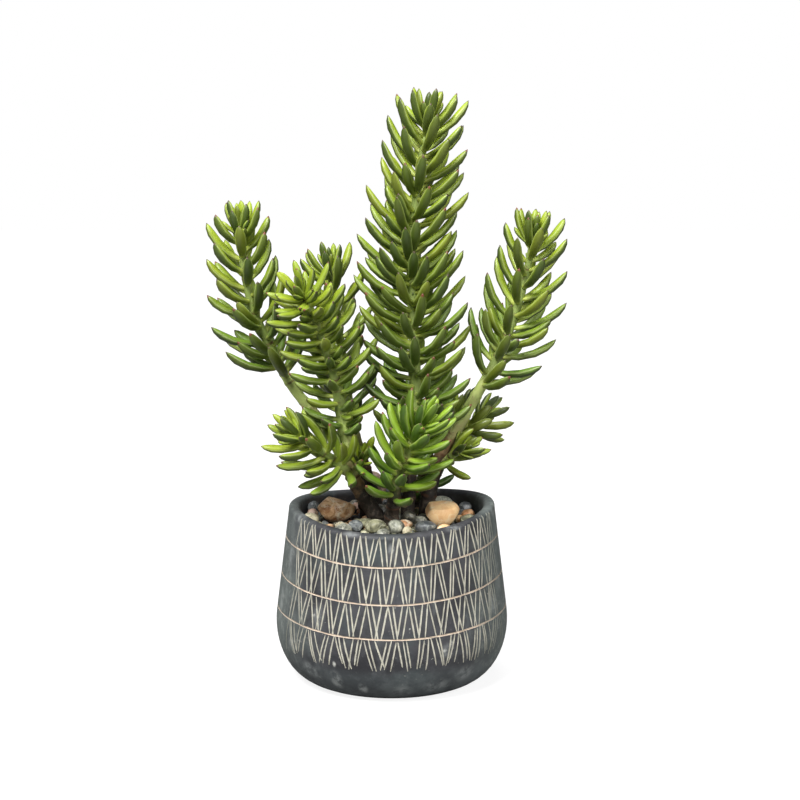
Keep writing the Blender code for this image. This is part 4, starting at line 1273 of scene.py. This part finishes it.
def leaf_finish(kind):
    fresh, shaded, old = LEAF_GREENS[kind]
    made = Finish(kind, 0.42, Coat_Weight=0.12, Coat_Roughness=0.35)
    along, under, tone = made.attribute("along"), made.attribute("under"), made.attribute("tone")
    young = made.attribute("young")
    upper = made.mix(made.span(young, 0.02, 0.45), old, fresh)
    patches = made.ripple(0.5, 110, 1, 0.5)
    # The underside is a duller green, darkened much further by painted shade.
    colour = made.mix(made.span(made.plus(under, patches), 0.36, 0.78), upper, shaded)
    dark = tuple(channel * 0.50 for channel in fresh)
    warm = (fresh[0] * 1.25, fresh[1] * 1.05, fresh[2])
    colour = made.mix(made.span(tone, 0.0, 1.0, 0.0, 0.45), colour, dark)
    colour = made.mix(made.span(tone, 0.0, -1.0, 0.0, 0.35), colour, warm)
    # A pale band where the upper side meets the underside: a painted highlight along each leaf's rim.
    side = made.away_from(0.52, under)
    colour = made.mix(made.span(side, 0.0, 0.10, 0.40, 0.0), colour, LEAF_RIM_HIGHLIGHT)
    colour = made.mix(made.span(along, 0.06, 0.30, 0.70, 0.0), colour, LEAF_PALE)
    tip_edge = made.plus(along, made.times(tone, 0.012))
    tip = made.mix(made.span(tone, 0.3, 0.9), *LEAF_TIPS)
    colour = made.mix(made.span(tip_edge, 0.945, 0.985, 0.0, 0.92), colour, tip)
    streaks = made.noise(260, 2, 0.5)
    roughness = made.span(streaks, 0.3, 0.7, 0.38, 0.52)
    return made.finish(colour, streaks, 0.00008, roughness)


def stem_finish(kind):
    made = Finish(f"{kind}_stem", 0.6)
    age, joint = made.attribute("age"), made.attribute("joint")
    spotted = made.ripple(0.7, 150, 5, 0.65)
    colour = made.ramp(made.plus(age, spotted), *STEM_AGES)
    # Painted shade: the stem darkens where its leaves cover it.
    colour = made.mix(made.times(made.attribute("leaf_shade"), 0.75), colour, (0.150, 0.205, 0.045))
    brown = made.times(made.span(joint, 0.3, 0.9), made.span(made.noise(90, 3), 0.36, 0.60))
    colour = made.mix(made.times(brown, 0.85), colour, (0.12, 0.050, 0.024))
    scars = made.span(made.noise(420, 3, 0.7), 0.60, 0.70, 0.0, 0.6)
    colour = made.mix(scars, colour, (0.10, 0.055, 0.030))
    bark = made.times(made.span(made.noise(260, 5, 0.7), 0.50, 0.64),
                      made.span(age, 0.35, 0.65, 0.0, 0.6))
    colour = made.mix(bark, colour, (0.15, 0.120, 0.090))
    return made.finish(colour, made.noise(330, 5, 0.7), 0.0005)


# %% [markdown]
# ## Room between the leaves
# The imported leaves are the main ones. A real shoot is fuller: half-grown leaves fill the gaps, the
# crown has a heart of small ones, and tiny pale buds sit in the angles between leaf and stem. A
# half-grown leaf only grows where it has room, so each is tried against samples of all that is already
# there. The samples follow its centre line, so the test is a rough one. The main leaves, the hearts and
# the buds aren't tried, and may cross a neighbour.

# %% What takes up room
CROWDING = 1.0                # how near a smaller leaf comes to another, over the sum of their half widths
NEAR = 0.032                  # only samples this near a leaf's middle are looked at
ROOT_PARTS = 4                # a leaf's first parts are at its stem, where leaves stand close
LOWEST_LEAF = 0.1175          # over the pebbles and the rim
SAMPLE_GAP = 0.0025


class Thicket:
    """Samples of every stem and leaf, with their half widths"""

    def __init__(self):
        self.places = np.zeros((0, 3))
        self.sizes = np.zeros(0)
        self.owners = np.zeros(0)

    def add(self, places, sizes, owner):
        self.places = np.vstack([self.places, np.array([tuple(place) for place in places])])
        self.sizes = np.append(self.sizes, sizes)
        self.owners = np.append(self.owners, np.full(len(sizes), owner))

    def add_leaf(self, points, width):
        self.add(points[ROOT_PARTS:], LEAF_PROFILE * width / 2, -1)

    def has_room(self, points, width, owner):
        """By its samples, clear of leaves and other shoots' stems, over the pebbles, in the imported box"""
        line = np.array([tuple(point) for point in points[ROOT_PARTS:]])
        sizes = LEAF_PROFILE * width / 2
        lowest, highest = (line - sizes[:, None]).min(0), (line + sizes[:, None]).max(0)
        if lowest[2] < LOWEST_LEAF or np.any(lowest < cad_box[0]) or np.any(highest > cad_box[1]):
            return False
        near = np.linalg.norm(self.places - line[len(line) // 2], axis=1) < NEAR
        near &= self.owners != owner
        apart = np.linalg.norm(line[:, None] - self.places[near][None], axis=2)
        return bool(np.all(apart > CROWDING * (sizes[:, None] + self.sizes[near])))


LEAF_PROFILE = np.array([leaf_fullness(part / LEAF_PARTS) for part in range(ROOT_PARTS, LEAF_PARTS + 1)])
print("a smaller leaf keeps", CROWDING, "of the two half widths from another leaf")


# %% Where the smaller leaves may grow
FILL_TRIES = {4: 0.9, 5: 1.7}   # sites tried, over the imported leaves, by the leaves to a turn
FILL_LENGTH = (0.66, 0.95)
HEART_LEAVES = 11
BUD_SHARE = 0.30
BUD_LENGTH = (0.0042, 0.0080)
BUD_LIFT = 0.0014
BUD_ANGLES = (50, 10)
FILL_WAYS = ((0, 0), (-12, 0), (0, 14), (0, -14), (12, 0))   # lift and swing of each try at one site


def filling_sites(shoot, route, draw):
    """Evenly up the leafy stretch, each a golden turn further round than the last"""
    start, end, count = leafy_stretch(shoot, route)
    count = int(count * FILL_TRIES[shoot["ring"]])
    for leaf in range(count):
        share = (leaf + 0.5) / count
        yield (lerp(start, end, share), GOLDEN_TURN * leaf + draw.uniform(-10, 10),
               length_at(shoot, share) * draw.uniform(*FILL_LENGTH),
               lerp(*shoot["leave"], share) + draw.uniform(-12, 6),
               lerp(*shoot["tip"], share) + draw.uniform(-10, 10))


def heart_sites(shoot, route, draw):
    """The short slender leaves in the middle of a crown"""
    for leaf in range(HEART_LEAVES):
        share = leaf / (HEART_LEAVES - 1)
        yield (route.length - lerp(0.0065, 0.0003, share), GOLDEN_TURN * leaf + draw.uniform(-20, 20),
               length_at(shoot, 1) * lerp(0.62, 0.34, share) * draw.uniform(0.85, 1.1),
               lerp(76, 22, share), lerp(46, 6, share))


print("tries for smaller leaves, over the packed ones:", FILL_TRIES)


# %% Grow every plant
TONE_SEED = 41
YOUNG_SIZE = 0.85             # the size of a crown leaf that has no packed one
CROWN_WIDTH = 0.8
STRETCH_YOUTH = 0.5           # how young the leaves under the crown look, against its innermost leaf
SIDE_YOUTH = 0.2              # and how young a side shoot's lowest leaves look

draw = random.Random(TONE_SEED)
routes = [shoot_route(shoot) for shoot in SHOOTS]
thicket = Thicket()
leaves = {shoot["plant"]: [] for shoot in SHOOTS}
stems = {shoot["plant"]: [] for shoot in SHOOTS}
for number, (shoot, route) in enumerate(zip(SHOOTS, routes)):
    distances = np.arange(0, route.length, SAMPLE_GAP)
    thicket.add([route.at(distance)[0] for distance in distances],
                [stem_radius(shoot, route, distance) for distance in distances], number)
    stems[shoot["plant"]].append(grow_stem(shoot, route))


def youth(shoot, share):
    """How young a leaf looks at a share of the leafy stretch"""
    return lerp(0.0 if shoot["root"] else SIDE_YOUTH, STRETCH_YOUTH, share)


def put_leaf(shoot, points, across, length, width, young):
    """Grows one leaf and notes the room that it takes up"""
    piece = grow_leaf(points, across, length, width, draw.uniform(-1, 1), young)
    leaves[shoot["plant"]].append(piece)
    thicket.add_leaf(points, leaf_width(length, width))


for shoot, route in zip(SHOOTS, routes):
    corners = corner_tree(shoot["plant"])
    start, end, count = leafy_stretch(shoot, route)
    width = shoot["width"] / 1000
    for number, site in enumerate(leaf_sites(shoot, route)):
        line = packed_line(corners, route, site)
        if number < count:
            if line is not None:
                put_leaf(shoot, *line, site[2], width, youth(shoot, number / count))
            continue
        size = 1.0
        if line is None:
            size = YOUNG_SIZE
            line = leaf_line(route, *site[:2], site[2] * size, *site[3:])
        young = lerp(STRETCH_YOUTH, 1, (number - count) / shoot["crown"])
        put_leaf(shoot, *line, site[2] * size, width * CROWN_WIDTH, young)
print("leaves of the packed spirals", sum(len(pieces) for pieces in leaves.values()))

for owner, (shoot, route) in enumerate(zip(SHOOTS, routes)):
    start, end, count = leafy_stretch(shoot, route)
    width = shoot["width"] / 1000
    for site in filling_sites(shoot, route, draw):
        distance, turn, length, leave, tip = site
        young = youth(shoot, (distance - start) / (end - start))
        for lift, swing in FILL_WAYS:
            line = leaf_line(route, distance, turn + swing, length, leave + lift, tip + lift)
            if thicket.has_room(line[0], leaf_width(length, width), owner):
                put_leaf(shoot, *line, length, width, young)
                break
    for site in heart_sites(shoot, route, draw):
        put_leaf(shoot, *leaf_line(route, *site), site[2], width * CROWN_WIDTH, 1.0)
    for site in list(leaf_sites(shoot, route))[:count]:
        if draw.random() < BUD_SHARE:
            length = draw.uniform(*BUD_LENGTH)
            turn = site[1] + draw.uniform(-25, 25)
            bud = leaf_line(route, site[0] + BUD_LIFT, turn, length, *BUD_ANGLES)
            leaves[shoot["plant"]].append(grow_leaf(*bud, length, width, draw.uniform(-1, 1), 1.0))
print("all leaves", sum(len(pieces) for pieces in leaves.values()))


# %% [markdown]
# ## Gravel between the pebbles
# Small grit fills most of the gaps between the pebbles and hides the soil. One little round stone is
# modelled, and copies of it are pressed, turned and sown where their middles lie clear of every pebble
# and stem. Their edges may still press into a neighbour, as grit does into soil.

# %% One little stone, sown in the gaps
GRAVEL_TRIES = 4000
GRAVEL_SIZE = (0.0014, 0.0030)
GRAVEL_KINDS = ("dark", "slate", "olive", "brown")
GRAVEL_LIFT = 0.20            # how much of its half height a grain stands over the soil
GRAVEL_GAP = 0.80             # how near two grains' middles come, over the sum of their half sizes
GRAIN_SPANS = ((1.0, 1.3), (0.8, 1.0), (0.6, 0.9))   # half length, half width and half height
GRAIN_BUMP = 0.10

deselect()
bpy.ops.mesh.primitive_ico_sphere_add(subdivisions=2, radius=1)
grain = bpy.context.object
grain_shape = corners_of(grain)
grains = {kind: [] for kind in GRAVEL_KINDS}
sown = []
stones = [lie_of(node) for node in stone_nodes]
trunks = [(route.at(ROOT_DEPTH)[0], stem_radius(shoot, route, ROOT_DEPTH))
          for shoot, route in zip(SHOOTS, routes) if shoot["root"]]


def free_of_stones(x, y, size):
    """Whether a grain's middle lies clear of every pebble, stem and other grain"""
    for middle, half, turn in stones:
        across, over = x - middle[0], y - middle[1]
        along = (across * math.cos(turn) + over * math.sin(turn)) / (half[0] + size / 2)
        beside = (over * math.cos(turn) - across * math.sin(turn)) / (half[1] + size / 2)
        if math.hypot(along, beside) < 1:
            return False
    if any(math.hypot(x - place.x, y - place.y) < size + radius for place, radius in trunks):
        return False
    return all(math.hypot(x - a, y - b) > GRAVEL_GAP * (size + other) for a, b, other in sown)


draw = random.Random(29)
for number in range(GRAVEL_TRIES):
    size = lerp(*reversed(GRAVEL_SIZE), number / GRAVEL_TRIES)
    radius, angle = (soil_radius - size) * math.sqrt(draw.random()), draw.uniform(0, math.tau)
    x, y = radius * math.cos(angle), radius * math.sin(angle)
    if not free_of_stones(x, y, size):
        continue
    sown.append((x, y, size))
    waves = np.array([draw.uniform(-4, 4) for _ in range(3)])
    bumps = 1 + GRAIN_BUMP * np.sin(grain_shape @ waves + number)
    sizes = np.array([size * draw.uniform(*span) for span in GRAIN_SPANS])
    places = turned(grain_shape * bumps[:, None] * sizes, draw.uniform(0, math.tau))
    copy = bpy.data.objects.new("grain", grain.data.copy())
    move_corners(copy, places + (x, y, SOIL_TOP + GRAVEL_LIFT * sizes[2]))
    bpy.context.scene.collection.objects.link(copy)
    grains[draw.choice(GRAVEL_KINDS)].append(copy)
bpy.data.objects.remove(grain)
for kind, pieces in grains.items():
    gravel = joined(f"gravel_{kind}", pieces)
    bpy.ops.object.shade_smooth()
    gravel.data.materials.append(stone_finishes[kind])
    dress(gravel, f"stone_{kind}")
print("grains", len(sown))


# %% Join each plant's pieces
for plant, pieces in leaves.items():
    kind = SLOTS[plant]
    foliage = joined(f"{plant}_leaves", pieces)
    foliage.data.materials.append(leaf_finish(kind))
    dress(foliage, kind, plant)
    trunk = joined(f"{plant}_stems", stems[plant])
    trunk.data.materials.append(stem_finish(kind))
    dress(trunk, kind, plant)
    print(plant, len(pieces), "leaves,", len(foliage.data.polygons), "faces")
bpy.data.objects.remove(leaf)


# %% [markdown]
# ## The size
# The imported model's box and the dressed model's box are both printed. The dressed model must
# fill the same box as the imported one.

# %% Print both boxes and finish
boxes = {name: [list(corner) for corner in box] for name, box in (("cad", cad_box), ("visual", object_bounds()))}
for name, box in boxes.items():
    print(name, [[round(value * 1000, 1) for value in corner] for corner in box])
